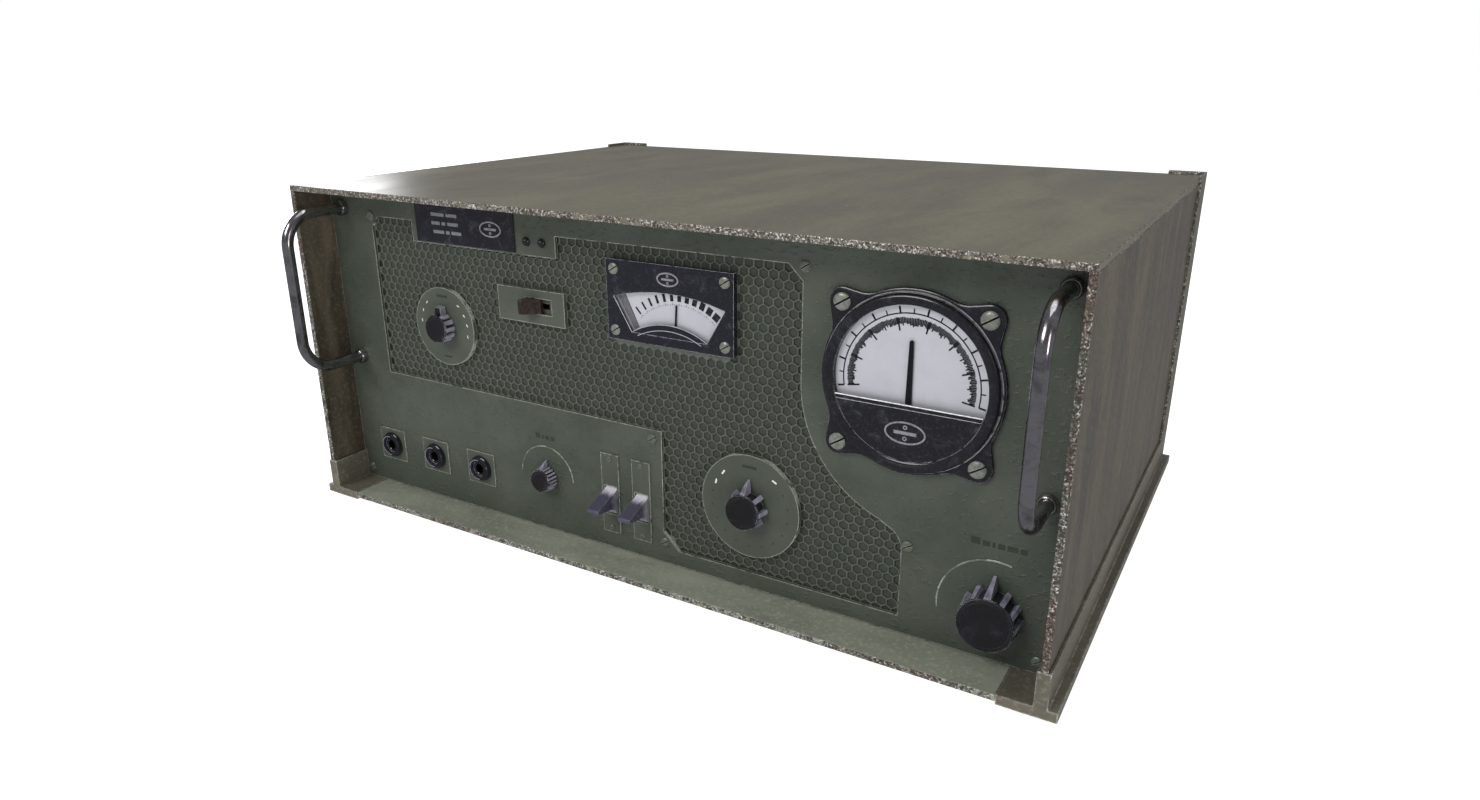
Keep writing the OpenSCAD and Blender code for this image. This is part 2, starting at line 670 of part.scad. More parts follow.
fan_pivot = tuning_at - [0, 57.5];
fan_outer = 126;            // radius of the window's upper edge
fan_outer_c = tuning_at + [0, 7.2 - fan_outer];
fan_inner = 47.4;           // radius of the window's lower edge about the needle's pivot
fan_half = 31;              // half angle of the window's sides
frame_face = 1.8;           // front of the frame before the panel's face
frame_skin = 1;
fan_low = 20;               // lower edge of the cover under the window, below the centre
fan_cover = 25.5;           // half width of that cover
tuning_box = [69, 91, 28];
tuning_box_low = -75;
tuning_box_y = grille_back + backing_t;
tuning_arm_y = tuning_box_y + 3;
tuning_rest = 4;            // the needle leans this many degrees to the right at rest
fan_span = 16.4;            // half angle of the window's upper edge about its own centre

function fan_point(r, a) = fan_pivot + r * [sin(a), cos(a)];
// Outline of the window, drawn in by `inset` on every side
function fan_outline(inset) = let (
        upper = fan_span - inset / fan_outer * 180 / PI,
        side = fan_half - inset / fan_inner * 180 / PI,
        low = fan_inner - 0.4 + inset,
        steps = 8)
    concat(
        [for (i = [0 : steps]) let (a = upper * (2 * i / steps - 1))
            fan_outer_c + (fan_outer - inset) * [sin(a), cos(a)]],
        [fan_point(low, side), fan_point(low, -side)]);
function around(at, w, low, high) = [at[0] - w, at[1] + low, at[0] + w, at[1] + high];

module tuning_meter_housing() {
    half = tuning_size / 2;
    wall = 1.5;
    box_x = tuning_at[0] - tuning_box[0] / 2;
    box_z = tuning_at[1] + tuning_box_low;
    seat() color(bakelite) {
        difference() {
            slab(panel_y - frame_face, panel_back) frame2d(around(tuning_at, half[0], -half[1], half[1]));
            slab(panel_y - frame_face - 1, panel_y - 0.5) polygon(fan_outline(0));
            slab(panel_y - frame_face + frame_skin, panel_back + 1)
                frame2d(around(tuning_at, 37.6, -21.2, 10.6));
            for (at = corners(tuning_at, tuning_hole_gap))
                rod(at, meter_hole_r, panel_y - 3, panel_back + 1);
        }
        slab(panel_y - 1.5, panel_y - frame_face + frame_skin + eps)
            polygon(concat(arc(fan_pivot, fan_inner, 90 + fan_half, 90 - fan_half, 12),
                [tuning_at + [fan_cover, -fan_low], tuning_at + [-fan_cover, -fan_low]]));
        difference() {
            translate([box_x, tuning_box_y, box_z]) cube([tuning_box[0], tuning_box[2], tuning_box[1]]);
            translate([box_x + wall, tuning_box_y - 1, box_z + wall])
                cube([tuning_box[0] - 2 * wall, tuning_box[2] - wall + 1, tuning_box[1] - 2 * wall]);
        }
        difference() {
            block([box_x + wall - eps, tuning_arm_y + 4, fan_pivot[1] - 4],
                  [box_x + tuning_box[0] - wall + eps, tuning_arm_y + 8, fan_pivot[1] + 4]);
            rod(fan_pivot, spindle_r + fit, tuning_arm_y, tuning_arm_y + 10);
        }
    }
}
module tuning_meter_dial() seat() color(dial_white) difference() {
    slab(panel_y + 0.8, panel_y + 1.5)
        polygon(concat(arc(fan_pivot, 45, 53, 127, 12),
            [for (at = [[-37, -18], [-37, 10], [37, 10], [37, -18]]) tuning_at + at]));
    for (at = corners(tuning_at, tuning_hole_gap)) rod(at, meter_hole_r, panel_y, panel_back);
}
module tuning_meter_needle() {
    thin = 0.6;
    face_y = panel_y - 0.2;
    crank = 43;
    tip = 58.6;
    hub_r = 2.4;
    weight = [5, 6, 2.4];
    weight_z = -14;
    seat() color(needle_black) translate([fan_pivot[0], 0, fan_pivot[1]]) rotate([0, tuning_rest, 0]) {
        rod([0, 0], spindle_r, tuning_arm_y, tuning_arm_y + 10);
        rod([0, 0], hub_r, tuning_arm_y - 0.6, tuning_arm_y + 3);
        block([-0.8, tuning_arm_y, weight_z + 1], [0.8, tuning_arm_y + thin, crank + 0.5]);
        block([-0.5, face_y, crank - 0.5], [0.5, tuning_arm_y + thin, crank + 0.5]);
        block([-0.4, face_y, crank], [0.4, face_y + thin, tip]);
        block([-weight[0], tuning_arm_y - 0.4, weight_z],
              [weight[0], tuning_arm_y - 0.4 + weight[2], weight_z + weight[1]]);
    }
}
module tuning_meter_window() seat() color(clear)
    slab(panel_y - 1.4, panel_y - 0.9) difference() {
        polygon(fan_outline(0.1));
        translate(fan_pivot) circle(r = fan_inner + 0.2);
    }

module meter_screws() seat() color([0.5, 0.52, 0.48]) {
    for (at = corners(level_at, [level_hole_gap, level_hole_gap])) on_panel(at)
        translate([0, 0, level_flange_t]) screw(4.4, 1.6, 0.9, 2, 8);
    for (at = corners(tuning_at, tuning_hole_gap)) on_panel(at)
        translate([0, 0, frame_face]) screw(3.1, 1.2, 0.8, 1.6, 5.5);
}

// ---------- handles and panel screws ----------

module handle(x) {
    r = handle_d / 2;
    half = handle_gap / 2;
    out = handle_reach;
    stud_r = 2.5;
    stud = 8;
    on_panel([x, handle_z]) {
        for (s = [-1, 1]) translate([0, s * half, 0]) {
            cylinder(r = r, h = out - handle_bend + eps);
            translate([0, 0, -stud]) cylinder(r = stud_r, h = stud + eps);
        }
        for (s = [-1, 1]) translate([0, s * (half - handle_bend), out - handle_bend])
            rotate([0, 0, s * 90]) rotate([90, 0, 0])
                rotate_extrude(angle = 90) translate([handle_bend, 0]) circle(r = r);
        translate([0, half - handle_bend + eps, out]) rotate([90, 0, 0])
            cylinder(r = r, h = handle_gap - 2 * handle_bend + 2 * eps);
    }
}
module left_handle() seat() color(polished) handle(handle_x[0]);
module right_handle() seat() color(polished) handle(handle_x[1]);
module handle_collars() {
    collar_h = 3.2;
    rim_h = 1;
    inner = handle_d / 2;
    seat() color(polished)
        for (x = handle_x, s = [-1, 1]) on_panel([x, handle_z + s * handle_gap / 2]) difference() {
            union() {
                cylinder(r = inner + 1.5, h = collar_h);
                translate([0, 0, collar_h - eps]) cylinder(r1 = inner + 1.5, r2 = inner + 0.9, h = rim_h);
            }
            translate([0, 0, -1]) cylinder(r = inner + eps, h = collar_h + rim_h + 2);
        }
}

module panel_screws() seat() color([0.42, 0.46, 0.40]) {
    for (at = small_screws) on_panel(at) screw(2.9, 1.3, 0.8, small_shank, 7);
    for (at = boost_screw_at) on_panel(at)
        translate([0, 0, plate_t]) screw(1.7, 0.8, 0.5, boost_shank, 2.5);
}

// ---------- inside ----------

deck = [30, 75, 460, 310];
deck_z = 55;
deck_t = 1.5;
module chassis() seat() color([0.55, 0.55, 0.52]) {
    block([deck[0], deck[1], deck_z - deck_t], [deck[2], deck[3], deck_z]);
    for (y = [deck[1], deck[3] - deck_t])
        block([deck[0], y, floor_z[1]], [deck[2], y + deck_t, deck_z - deck_t]);
    for (x = [deck[0], deck[2] - deck_t])
        block([x, deck[1] + deck_t, floor_z[1]], [x + deck_t, deck[3] - deck_t, deck_z - deck_t]);
}

// Laminated core standing on the deck with a winding and two end bells
module transformer(at, core) {
    bell = [0.62 * core[0], 1.6 * core[1], 0.6 * core[2]];
    bell_z = (core[2] - bell[2]) / 2;
    translate([at[0], at[1], deck_z]) {
        translate([-core[0] / 2, -core[1] / 2, 0]) cube(core);
        translate([-bell[0] / 2, -bell[1] / 2, bell_z]) cube(bell);
    }
}
mains_core = [84, 42, 90];
audio_core = [50, 26, 50];
module transformers() seat() color([0.16, 0.16, 0.17]) {
    transformer([90, 255], mains_core);
    for (x = [165, 225]) transformer([x, 270], audio_core);
}

tube_at = [[330, 110], [330, 170], [330, 230], [400, 115], [400, 175], [400, 235]];
socket_h = 9;
module tube_sockets() seat() color(brown)
    for (at = tube_at) translate([at[0], at[1], deck_z]) ring(6, 18, socket_h);
// Bulb of blown glass, open where its base is cemented on
module bulb(r, h, t) {
    neck = r - 4;
    crown = 0.53 * r;
    neck_z = 0.24 * h;
    waist_z = 0.45 * h;
    shoulder_z = 0.82 * h;
    outer = [[neck, 0], [neck, neck_z], [r, waist_z], [r, shoulder_z], [crown, h], [0, h]];
    inner = [[0, h - t], [crown - t / 2, h - t], [r - t, shoulder_z - t / 3],
             [r - t, waist_z], [neck - t, neck_z], [neck - t, 0]];
    rotate_extrude() polygon(concat(outer, inner));
}
module vacuum_tubes() seat() color([0.75, 0.80, 0.82, 0.4])
    for (at = tube_at) translate([at[0], at[1], deck_z + socket_h]) bulb(19, 76, 1);

module if_transformer_cans() {
    can = [32, 32, 78];
    wall = 1;
    adjuster_r = 5;
    seat() color(polished) for (y = [110, 165, 220]) translate([280, y, deck_z]) difference() {
        union() {
            translate([-can[0] / 2, -can[1] / 2, 0]) cube(can);
            cylinder(r = adjuster_r, h = can[2] + 3);
        }
        translate([-can[0] / 2 + wall, -can[1] / 2 + wall, -1]) cube(can - [2 * wall, 2 * wall, wall - 1]);
    }
}

module filter_capacitors() {
    r = 16;
    h = 82;
    seat() color(polished) for (x = [290, 335]) translate([x, 285, deck_z]) {
        cylinder(r = r, h = h);
        translate([0, 0, h - eps]) cylinder(r1 = r, r2 = r - 3, h = 3);
    }
}

gang_y = [82, 190];
rotor_r = 21;
stator_r = 24.5;
vanes = 14;
vane_pitch = 6.4;
vane_t = 1.2;
first_vane = gang_y[0] + 11;
module tuning_capacitor() {
    plate = 1.6;
    half_w = 26;
    bar = 3;
    low = deck_z;
    high = rotor_at[1] + half_w;
    seat() color([0.60, 0.58, 0.50]) {
        difference() {
            for (y = [gang_y[0], gang_y[1] - plate])
                block([rotor_at[0] - half_w, y, low], [rotor_at[0] + half_w, y + plate, high]);
            rod(rotor_at, shaft_d / 2 + fit, gang_y[0] - 1, gang_y[1] + 1);
        }
        for (s = [-1, 1]) {
            x = rotor_at[0] + s * (half_w - 1);
            block([x - 1, gang_y[0] + plate, low], [x + 1, gang_y[1] - plate, low + 4]);
        }
        block([rotor_at[0] - half_w, gang_y[0] + plate, high - bar],
              [rotor_at[0] + half_w, gang_y[1] - plate, high]);
        for (i = [0 : vanes - 1]) {
            y = first_vane + i * vane_pitch;
            difference() {
                intersection() {
                    rod(rotor_at, stator_r, y, y + vane_t);
                    block([rotor_at[0] - 30, y - 1, rotor_at[1]],
                          [rotor_at[0] + 30, y + 2, rotor_at[1] + 30]);
                }
                rod(rotor_at, 6, y - 1, y + 2);
            }
        }
    }
}
module capacitor_rotor() seat() color(polished) {
    rod(rotor_at, shaft_d / 2, gear_y[0] - 1, gang_y[1] + 3);
    for (i = [0 : vanes - 2]) {
        y = first_vane + (i + 0.5) * vane_pitch;
        difference() {
            intersection() {
                rod(rotor_at, rotor_r, y, y + vane_t);
                block([rotor_at[0] - 30, y - 1, rotor_at[1] - 30],
                      [rotor_at[0] + 30, y + 2, rotor_at[1] + 4]);
            }
            rod(rotor_at, shaft_d / 2 - 0.4, y - 1, y + 2);
        }
    }
}

// Involute gear outline; backlash thins each tooth by `slack`
pressure_angle = 20;
function base_r(z) = gear_module * z * cos(pressure_angle) / 2;
function roll(z, r) = let (c = base_r(z) / r) r <= base_r(z) ? 0 : (tan(acos(c)) * 180 / PI - acos(c));
function half_tooth(z, r, slack) =
    90 / z - slack * 180 / PI / (gear_module * z) + (roll(z, gear_module * z / 2) - roll(z, r));
function tooth(z, slack, start) = let (
        root = gear_module * (z / 2 - 1.25),
        low = max(root, base_r(z)),
        high = gear_module * (z / 2 + 1),
        steps = 4)
    concat(
        [root * [cos(start - half_tooth(z, low, slack)), sin(start - half_tooth(z, low, slack))]],
        [for (i = [0 : steps])
            let (r = low + (high - low) * i / steps, a = start - half_tooth(z, r, slack))
            r * [cos(a), sin(a)]],
        [for (i = [steps : -1 : 0])
            let (r = low + (high - low) * i / steps, a = start + half_tooth(z, r, slack))
            r * [cos(a), sin(a)]],
        [root * [cos(start + half_tooth(z, low, slack)), sin(start + half_tooth(z, low, slack))]]);
module gear2d(z, slack, phase) polygon([for (i = [0 : z - 1]) each tooth(z, slack, phase + i * 360 / z)]);

gear_slack = 0.16;
web_holes = 5;
module drive_gear() seat() color([0.72, 0.58, 0.28]) on_panel(rotor_at)
    translate([0, 0, -(gear_y[1] - panel_y)]) difference() {
        linear_extrude(gear_y[1] - gear_y[0]) gear2d(gear_teeth, gear_slack, -90);
        translate([0, 0, -1]) cylinder(r = shaft_d / 2 + eps, h = 10);
        for (i = [0 : web_holes - 1]) rotate([0, 0, i * 360 / web_holes])
            translate([18, 0, -1]) cylinder(r = 6.5, h = 10);
    }
module drive_pinion() seat() color([0.72, 0.58, 0.28]) on_panel(fine_at)
    translate([0, 0, -(gear_y[1] + 1 - panel_y)]) difference() {
        linear_extrude(gear_y[1] - gear_y[0] + 2) gear2d(pinion_teeth, gear_slack, 90 + 180 / pinion_teeth);
        translate([0, 0, -1]) cylinder(r = shaft_d / 2 + eps, h = 10);
    }

// ---------- rear ----------

terminal_at = [[385, 60], [405, 60], [425, 60]];
terminal_bush = 3.5;
fuse_at = [110, 40];
fuse_r = 7;
gland_at = [70, 40];
gland_seat = 7;
gland_bore = 4;

module antenna_terminals() seat() color(brown) for (at = terminal_at) {
    rod(at, terminal_bush, rear_y - 4, rear_y + rear_t + 1);
    rod(at, 5.5, rear_y + rear_t, rear_y + rear_t + 1.5);
    rod(at, 1.5, rear_y - 10, rear_y + rear_t + 9);
    rod(at, 4.6, rear_y + rear_t + 3, rear_y + rear_t + 8.5);
}
module fuse_holder() seat() color(bakelite) {
    rod(fuse_at, fuse_r, rear_y - 25, rear_y + rear_t + 1);
    rod(fuse_at, fuse_r + 2, rear_y + rear_t, rear_y + rear_t + 2);
    rod(fuse_at, fuse_r - 1, rear_y + rear_t + 1, rear_y + rear_t + 8);
}
module lead_gland() seat() color([0.06, 0.06, 0.06]) difference() {
    union() {
        rod(gland_at, gland_seat, rear_y - 3, rear_y + rear_t + 2.5);
        rod(gland_at, gland_seat + 2, rear_y + rear_t, rear_y + rear_t + 2.5);
        rod(gland_at, gland_seat + 2, rear_y - 3, rear_y - eps);
    }
    rod(gland_at, gland_bore, rear_y - 10, rear_y + 20);
}

top_cover();
left_side_panel();
right_side_panel();
floor_pan();
rear_panel();
left_skid_rail();
right_skid_rail();
left_rear_post();
right_rear_post();
rubber_feet();
front_panel();
honeycomb_grille();
grille_backing();
name_plate();
indicator_lamps();
selector_dial_plate();
tone_dial_plate();
control_plates();
selector_knob();
selector_shaft();
fine_knob();
fine_shaft();
tone_knob();
tone_shaft();
volume_knob();
volume_shaft();
slide_button();
left_boost_lever();
right_boost_lever();
switch_bodies();
jack_sockets();
level_meter_housing();
level_meter_dial();
level_meter_needle();
level_meter_window();
level_meter_cover();
tuning_meter_housing();
tuning_meter_dial();
tuning_meter_needle();
tuning_meter_window();
meter_screws();
left_handle();
right_handle();
handle_collars();
panel_screws();
chassis();
transformers();
vacuum_tubes();
tube_sockets();
if_transformer_cans();
tuning_capacitor();
capacitor_rotor();
drive_gear();
drive_pinion();
filter_capacitors();
potentiometers();
rotary_switch();
antenna_terminals();
fuse_holder();
lead_gland();
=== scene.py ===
"""Looks of the tube receiver: worn paint, honeycomb, dials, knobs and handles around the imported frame."""
import json
import math
import random

import bmesh
import bpy
from mathutils import Matrix, Vector
from mathutils.bvhtree import BVHTree


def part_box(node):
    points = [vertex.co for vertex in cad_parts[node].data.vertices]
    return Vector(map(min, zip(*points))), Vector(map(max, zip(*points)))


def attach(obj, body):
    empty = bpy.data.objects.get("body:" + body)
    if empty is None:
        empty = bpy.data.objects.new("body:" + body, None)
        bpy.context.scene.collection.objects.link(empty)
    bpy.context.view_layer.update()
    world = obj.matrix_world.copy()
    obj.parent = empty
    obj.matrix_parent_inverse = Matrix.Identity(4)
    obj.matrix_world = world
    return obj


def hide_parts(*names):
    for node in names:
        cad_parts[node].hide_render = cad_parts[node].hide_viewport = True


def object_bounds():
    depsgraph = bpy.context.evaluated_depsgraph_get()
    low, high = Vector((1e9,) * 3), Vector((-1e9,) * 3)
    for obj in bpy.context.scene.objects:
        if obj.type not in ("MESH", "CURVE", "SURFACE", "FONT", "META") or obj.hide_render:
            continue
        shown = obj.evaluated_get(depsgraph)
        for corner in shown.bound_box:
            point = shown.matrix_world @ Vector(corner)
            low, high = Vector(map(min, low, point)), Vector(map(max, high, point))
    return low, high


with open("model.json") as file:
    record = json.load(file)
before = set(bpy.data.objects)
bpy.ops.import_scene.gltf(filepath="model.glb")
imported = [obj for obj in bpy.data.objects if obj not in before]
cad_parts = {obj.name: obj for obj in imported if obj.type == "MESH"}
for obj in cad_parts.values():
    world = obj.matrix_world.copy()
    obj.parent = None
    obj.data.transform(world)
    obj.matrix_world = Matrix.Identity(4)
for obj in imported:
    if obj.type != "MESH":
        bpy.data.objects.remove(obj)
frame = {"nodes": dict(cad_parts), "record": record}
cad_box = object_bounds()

MM = 0.001
SAME_SPOT = 0.01 * MM       # vertices nearer than this are one vertex
ALONG_X, ALONG_Y = Vector((1, 0, 0)), Vector((0, 1, 0))
nodes = frame["nodes"]


# ---------- places, all from the frame ----------

def centre(node):
    lo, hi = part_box(node)
    return (lo + hi) / 2


cover_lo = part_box("top_cover")[0]
CASE_CORNER = Vector((cover_lo.x, cover_lo.y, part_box("left_skid_rail")[0].z))   # lower left front
PANEL_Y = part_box("front_panel")[0].y
PLATE_T = (PANEL_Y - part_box("tone_dial_plate")[0].y) / MM   # thickness of the control plates


def on_panel(x, z, y=PANEL_Y):
    """Maps millimetres (right, up, out of the panel) about the panel point x, z to the row frame."""
    return Matrix(((MM, 0, 0, x), (0, 0, -MM, y), (0, MM, 0, z), (0, 0, 0, 1)))


def axis_of(node):
    """Frame of millimetres about the middle of a shaft or a dial."""
    at = centre(node)
    return on_panel(at.x, at.z)


SELECTOR, FINE, TONE, VOLUME = (axis_of(name + "_shaft") for name in ("selector", "fine", "tone", "volume"))
LEVEL = axis_of("level_meter_dial")
TUNING_HALF_H = 22.5        # from the tuning meter's upper edge down to its middle
tuning_lo, tuning_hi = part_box("tuning_meter_housing")
TUNING = on_panel((tuning_lo.x + tuning_hi.x) / 2, tuning_hi.z - TUNING_HALF_H * MM)


# ---------- materials ----------

def srgb(r, g, b):
    """Linear colour from 8-bit sRGB values."""
    def linear(c):
        c /= 255
        return c / 12.92 if c <= 0.04045 else ((c + 0.055) / 1.055) ** 2.4
    return (linear(r), linear(g), linear(b), 1)


MIX_SOCKETS = {"RGBA": (6, 7, 2), "FLOAT": (2, 3, 0)}   # of a Mix node: first, second, result


class Graph:
    """A material's node tree. Its methods add nodes and return the socket that carries the result."""

    def __init__(self, name):
        self.material = bpy.data.materials.new(name)
        self.material.use_nodes = True
        self.tree = self.material.node_tree
        self.tree.nodes.clear()
        self.shader = self.node("BsdfPrincipled")
        output = self.node("OutputMaterial")
        self.tree.links.new(self.shader.outputs[0], output.inputs["Surface"])
        self.place = self.node("TexCoord").outputs["Object"]

    def node(self, kind, inputs=(), **settings):
        """Adds a node with its settings, and fills its inputs from (name or number, value) pairs."""
        made = self.tree.nodes.new("ShaderNode" + kind)
        for key, value in settings.items():
            setattr(made, key, value)
        for key, value in inputs:
            self.put(made.inputs[key], value)
        return made

    def put(self, socket, value):
        """Links a socket or sets a value; a colour with three parts is an 8-bit sRGB one."""
        if isinstance(value, bpy.types.NodeSocket):
            self.tree.links.new(value, socket)
        else:
            triple = socket.type == "RGBA" and len(value) == 3
            socket.default_value = srgb(*value) if triple else value

    def set(self, **values):
        """Sets the shader's sockets; underscores in the names stand for spaces."""
        for key, value in values.items():
            self.put(self.shader.inputs[key.replace("_", " ")], value)

    def math(self, operation, *values):
        return self.node("Math", enumerate(values), operation=operation).outputs[0]

    def times(self, first, second):
        return self.math("MULTIPLY", first, second)

    def stretched(self, *scales):
        """Object coordinates with each axis scaled."""
        pair = enumerate((self.place, scales))
        return self.node("VectorMath", pair, operation="MULTIPLY").outputs[0]

    def noise(self, scale, detail, rough=0.55, at=None, warp=0.0):
        inputs = (("Vector", at or self.place), ("Scale", scale), ("Detail", detail), ("Roughness", rough),
                  ("Distortion", warp))
        return self.node("TexNoise", inputs).outputs["Fac"]

    def step(self, value, low, high, out_low=0.0, out_high=1.0):
        """A smooth ramp from out_low at `low` to out_high at `high`."""
        numbers = enumerate((value, low, high, out_low, out_high))
        return self.node("MapRange", numbers, interpolation_type="SMOOTHSTEP").outputs["Result"]

    def mix(self, share, first, second, kind="RGBA"):
        """Mixes two colours, or two plain numbers when the kind is FLOAT."""
        at_first, at_second, result = MIX_SOCKETS[kind]
        sockets = ((0, share), (at_first, first), (at_second, second))
        return self.node("Mix", sockets, data_type=kind).outputs[result]

    def geometry(self, output):
        return self.node("NewGeometry").outputs[output]

    def axes(self, vector=None):
        """The three parts of a vector, or of the object coordinates."""
        return self.node("SeparateXYZ", [(0, vector or self.place)]).outputs

    def facing(self, axis):
        """The surface normal's part along one axis."""
        return self.axes(self.geometry("Normal"))[axis]

    def slanted(self):
        """1 on faces that lie along none of the three axes: bevels, chamfers and curved edges."""
        x, y, z = [self.math("ABSOLUTE", part) for part in self.axes(self.geometry("True Normal"))]
        largest = self.math("MAXIMUM", x, self.math("MAXIMUM", y, z))
        return self.step(largest, 0.93, 0.985, 1, 0)

    def bump(self, height, depth, strength):
        made = self.node("Bump", (("Strength", strength), ("Distance", depth), ("Height", height)))
        self.set(Normal=made.outputs["Normal"])

    def corner(self, radius, low, high):
        """1 where the surface turns sharply within `radius` millimetres, 0 where it is flat."""
        rounded = self.node("Bevel", [("Radius", radius * MM)], samples=4).outputs["Normal"]
        pair = enumerate((rounded, self.geometry("Normal")))
        along = self.node("VectorMath", pair, operation="DOT_PRODUCT").outputs["Value"]
        return self.step(self.math("SUBTRACT", 1.0, along), low, high)

    def rim(self, lo, hi):
        """Distance, in metres, from a point on a box's faces to the box's nearest edge."""
        near = []
        for axis in range(3):
            offset = self.math("SUBTRACT", self.axes()[axis], (lo[axis] + hi[axis]) / 2)
            near.append(self.math("SUBTRACT", (hi[axis] - lo[axis]) / 2, self.math("ABSOLUTE", offset)))
        a, b, c = near
        low, high = self.math("MINIMUM", a, b), self.math("MAXIMUM", a, b)
        return self.math("MAXIMUM", low, self.math("MINIMUM", high, c))


BARE_METAL = (118, 114, 106)
# near-white of the painted glints on bare metal
GLINT_WHITE = (228, 227, 220)
PIT = (38, 34, 30)
RUST = (84, 52, 44)
PIT_SCALE = 760


def brighter(colour, factor, lift=0.0):
    """A linear colour: an sRGB one scaled in brightness, and darkened where the factor is below 1."""
    return [min(1, part * factor + lift) for part in srgb(*colour)[:3]] + [1]


def wear_paint(g, paint, mask, rough, metal, rust=None, pits=0.85):
    """Shows pitted bare metal through the paint where mask is 1, flecked near-white with painted glints; rust
    is a second mask.
    """
    pit = g.step(g.noise(PIT_SCALE, 3, 0.65), 0.44, 0.56)
    # painted glints: near-white flecks that stand for light caught by the bare metal
    painted_glint = g.step(g.noise(PIT_SCALE * 1.3, 3, 0.6, at=g.stretched(1.01, 1, 0.99)), 0.5, 0.62)
    bare = g.mix(painted_glint, metal, GLINT_WHITE)
    bare = g.mix(g.times(pit, pits), bare, PIT)
    if rust is not None:
        bare = g.mix(rust, bare, RUST)
    g.set(Base_Color=g.mix(mask, paint, bare),
          Metallic=g.times(mask, 0.35),
          Roughness=g.mix(mask, rough, 0.36, "FLOAT"))
    return pit


def case_enamel(node, tone, streak, wear, rusty=0.5, speckle=0.15, contrast=0.6, ridge_wear_and_glint=False):
    """Old semi-gloss enamel on a sheet-steel box, worn to metal along the box's edges.

    tone is in sRGB, streak stretches the streaks along the axes, wear is the worn edge's width in
    millimetres, and the ridge flag wears every edge of the sheet and not only its front, in pale metal that
    is wear and also a painted highlight along each ridge.
    """
    lo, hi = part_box(node)
    g = Graph("enamel_" + node)
    cloud = g.noise(9, 4, 0.6)
    lines = g.noise(26, 5, 0.65, at=g.stretched(*streak), warp=0.4)
    specks = g.step(g.noise(430, 3, 0.7), 0.5, 0.68)
    dark, light = brighter(tone, 1 - 0.5 * contrast), brighter(tone, 1 + 0.4 * contrast)
    paint = g.mix(g.step(lines, 0.3, 0.72), dark, light)
    paint = g.mix(g.step(cloud, 0.35, 0.7, 0, 0.5), paint, tone)
    paint = g.mix(g.times(specks, speckle), paint, (168, 164, 148))
    ragged = g.times(g.noise(300, 4, 0.7), wear * MM)
    edge = g.step(g.math("SUBTRACT", g.rim(lo, hi), ragged), -0.0005, 0.0002, 1, 0)
    front = g.step(g.facing(1), -0.9, -0.6, 1, 0)
    chips = g.step(g.noise(170, 4, 0.7), 0.36, 0.5)
    worn = g.corner(1.2, 0.01, 0.1) if ridge_wear_and_glint else front
    mask = g.math("MAXIMUM", edge, g.times(worn, chips))
    rust = g.times(g.step(g.noise(9, 2), 0.46, 0.54), g.step(g.noise(420, 2), 0.36, 0.52))
    # with the ridge flag the bare metal is pale and little pitted: wear, and a painted highlight along each
    # ridge
    metal, pits = ((184, 181, 170), 0.35) if ridge_wear_and_glint else (BARE_METAL, 0.75)
    rough = g.step(lines, 0.25, 0.75, 0.28, 0.44)
    pit = wear_paint(g, paint, mask, rough, metal=metal, rust=g.times(rust, rusty), pits=pits)
    height = g.math("SUBTRACT", g.noise(700, 3), g.times(pit, mask))
    g.bump(g.math("SUBTRACT", height, mask), 0.00025, 0.5)
    return g.material


def panel_paint(name, light=(74, 80, 71), dark=(62, 69, 59), worn=0.55, grain=1.0):
    """Wrinkle-finish green paint with a leathery grain and thin bright worn outlines."""
    g = Graph(name)
    cloud = g.noise(22, 4, 0.6)
    paint = g.mix(g.step(cloud, 0.32, 0.7), dark, light)
    dirt = g.step(g.noise(240, 4, 0.7), 0.56, 0.75)
    paint = g.mix(g.times(dirt, 0.4), paint, (50, 56, 46))
    patchy = g.step(g.noise(110, 3, 0.7), 0.52 - 0.2 * worn, 0.66 - 0.2 * worn)
    outline = g.math("MAXIMUM", g.slanted(), g.corner(0.9, 0.01, 0.09))
    mask = g.times(outline, patchy)
    wear_paint(g, paint, mask, 0.42, metal=(182, 190, 174), pits=0.2)
    folds = g.step(g.noise(330, 3, 0.55, at=g.stretched(0.9, 1, 1.2)), 0.54, 0.7)
    height = g.math("ADD", folds, g.times(g.noise(560, 4, 0.6), 0.6))
    g.bump(height, 0.0004 * grain, 0.7)
    return g.material


def grille_paint():
    """The panel's green on the honeycomb: painted shade on the cells' floors, patches of grime, and rubbed on
    the walls' edges.
    """
    g = Graph("grille_green")
    # painted shade: the cells' floors drawn darker, as the shade inside the cells
    cell_floor_shade = g.step(g.axes()[1], PANEL_Y + 2.1 * MM, PANEL_Y + 2.6 * MM)   # 1 on the cells' floors
    paint = g.mix(g.noise(150, 4, 0.65), (82, 88, 78), (100, 106, 97))
    paint = g.mix(cell_floor_shade, paint, (58, 64, 56))
    grime = g.times(g.step(g.noise(420, 3, 0.7), 0.45, 0.7), 0.5)
    paint = g.mix(grime, paint, (38, 44, 36))
    mask = g.times(g.corner(0.3, 0.05, 0.4), g.step(g.noise(90, 3), 0.48, 0.66))
    wear_paint(g, paint, g.times(mask, 0.5), 0.42, metal=(138, 146, 130))
    g.bump(g.noise(900, 3), 0.0001, 0.4)
    return g.material


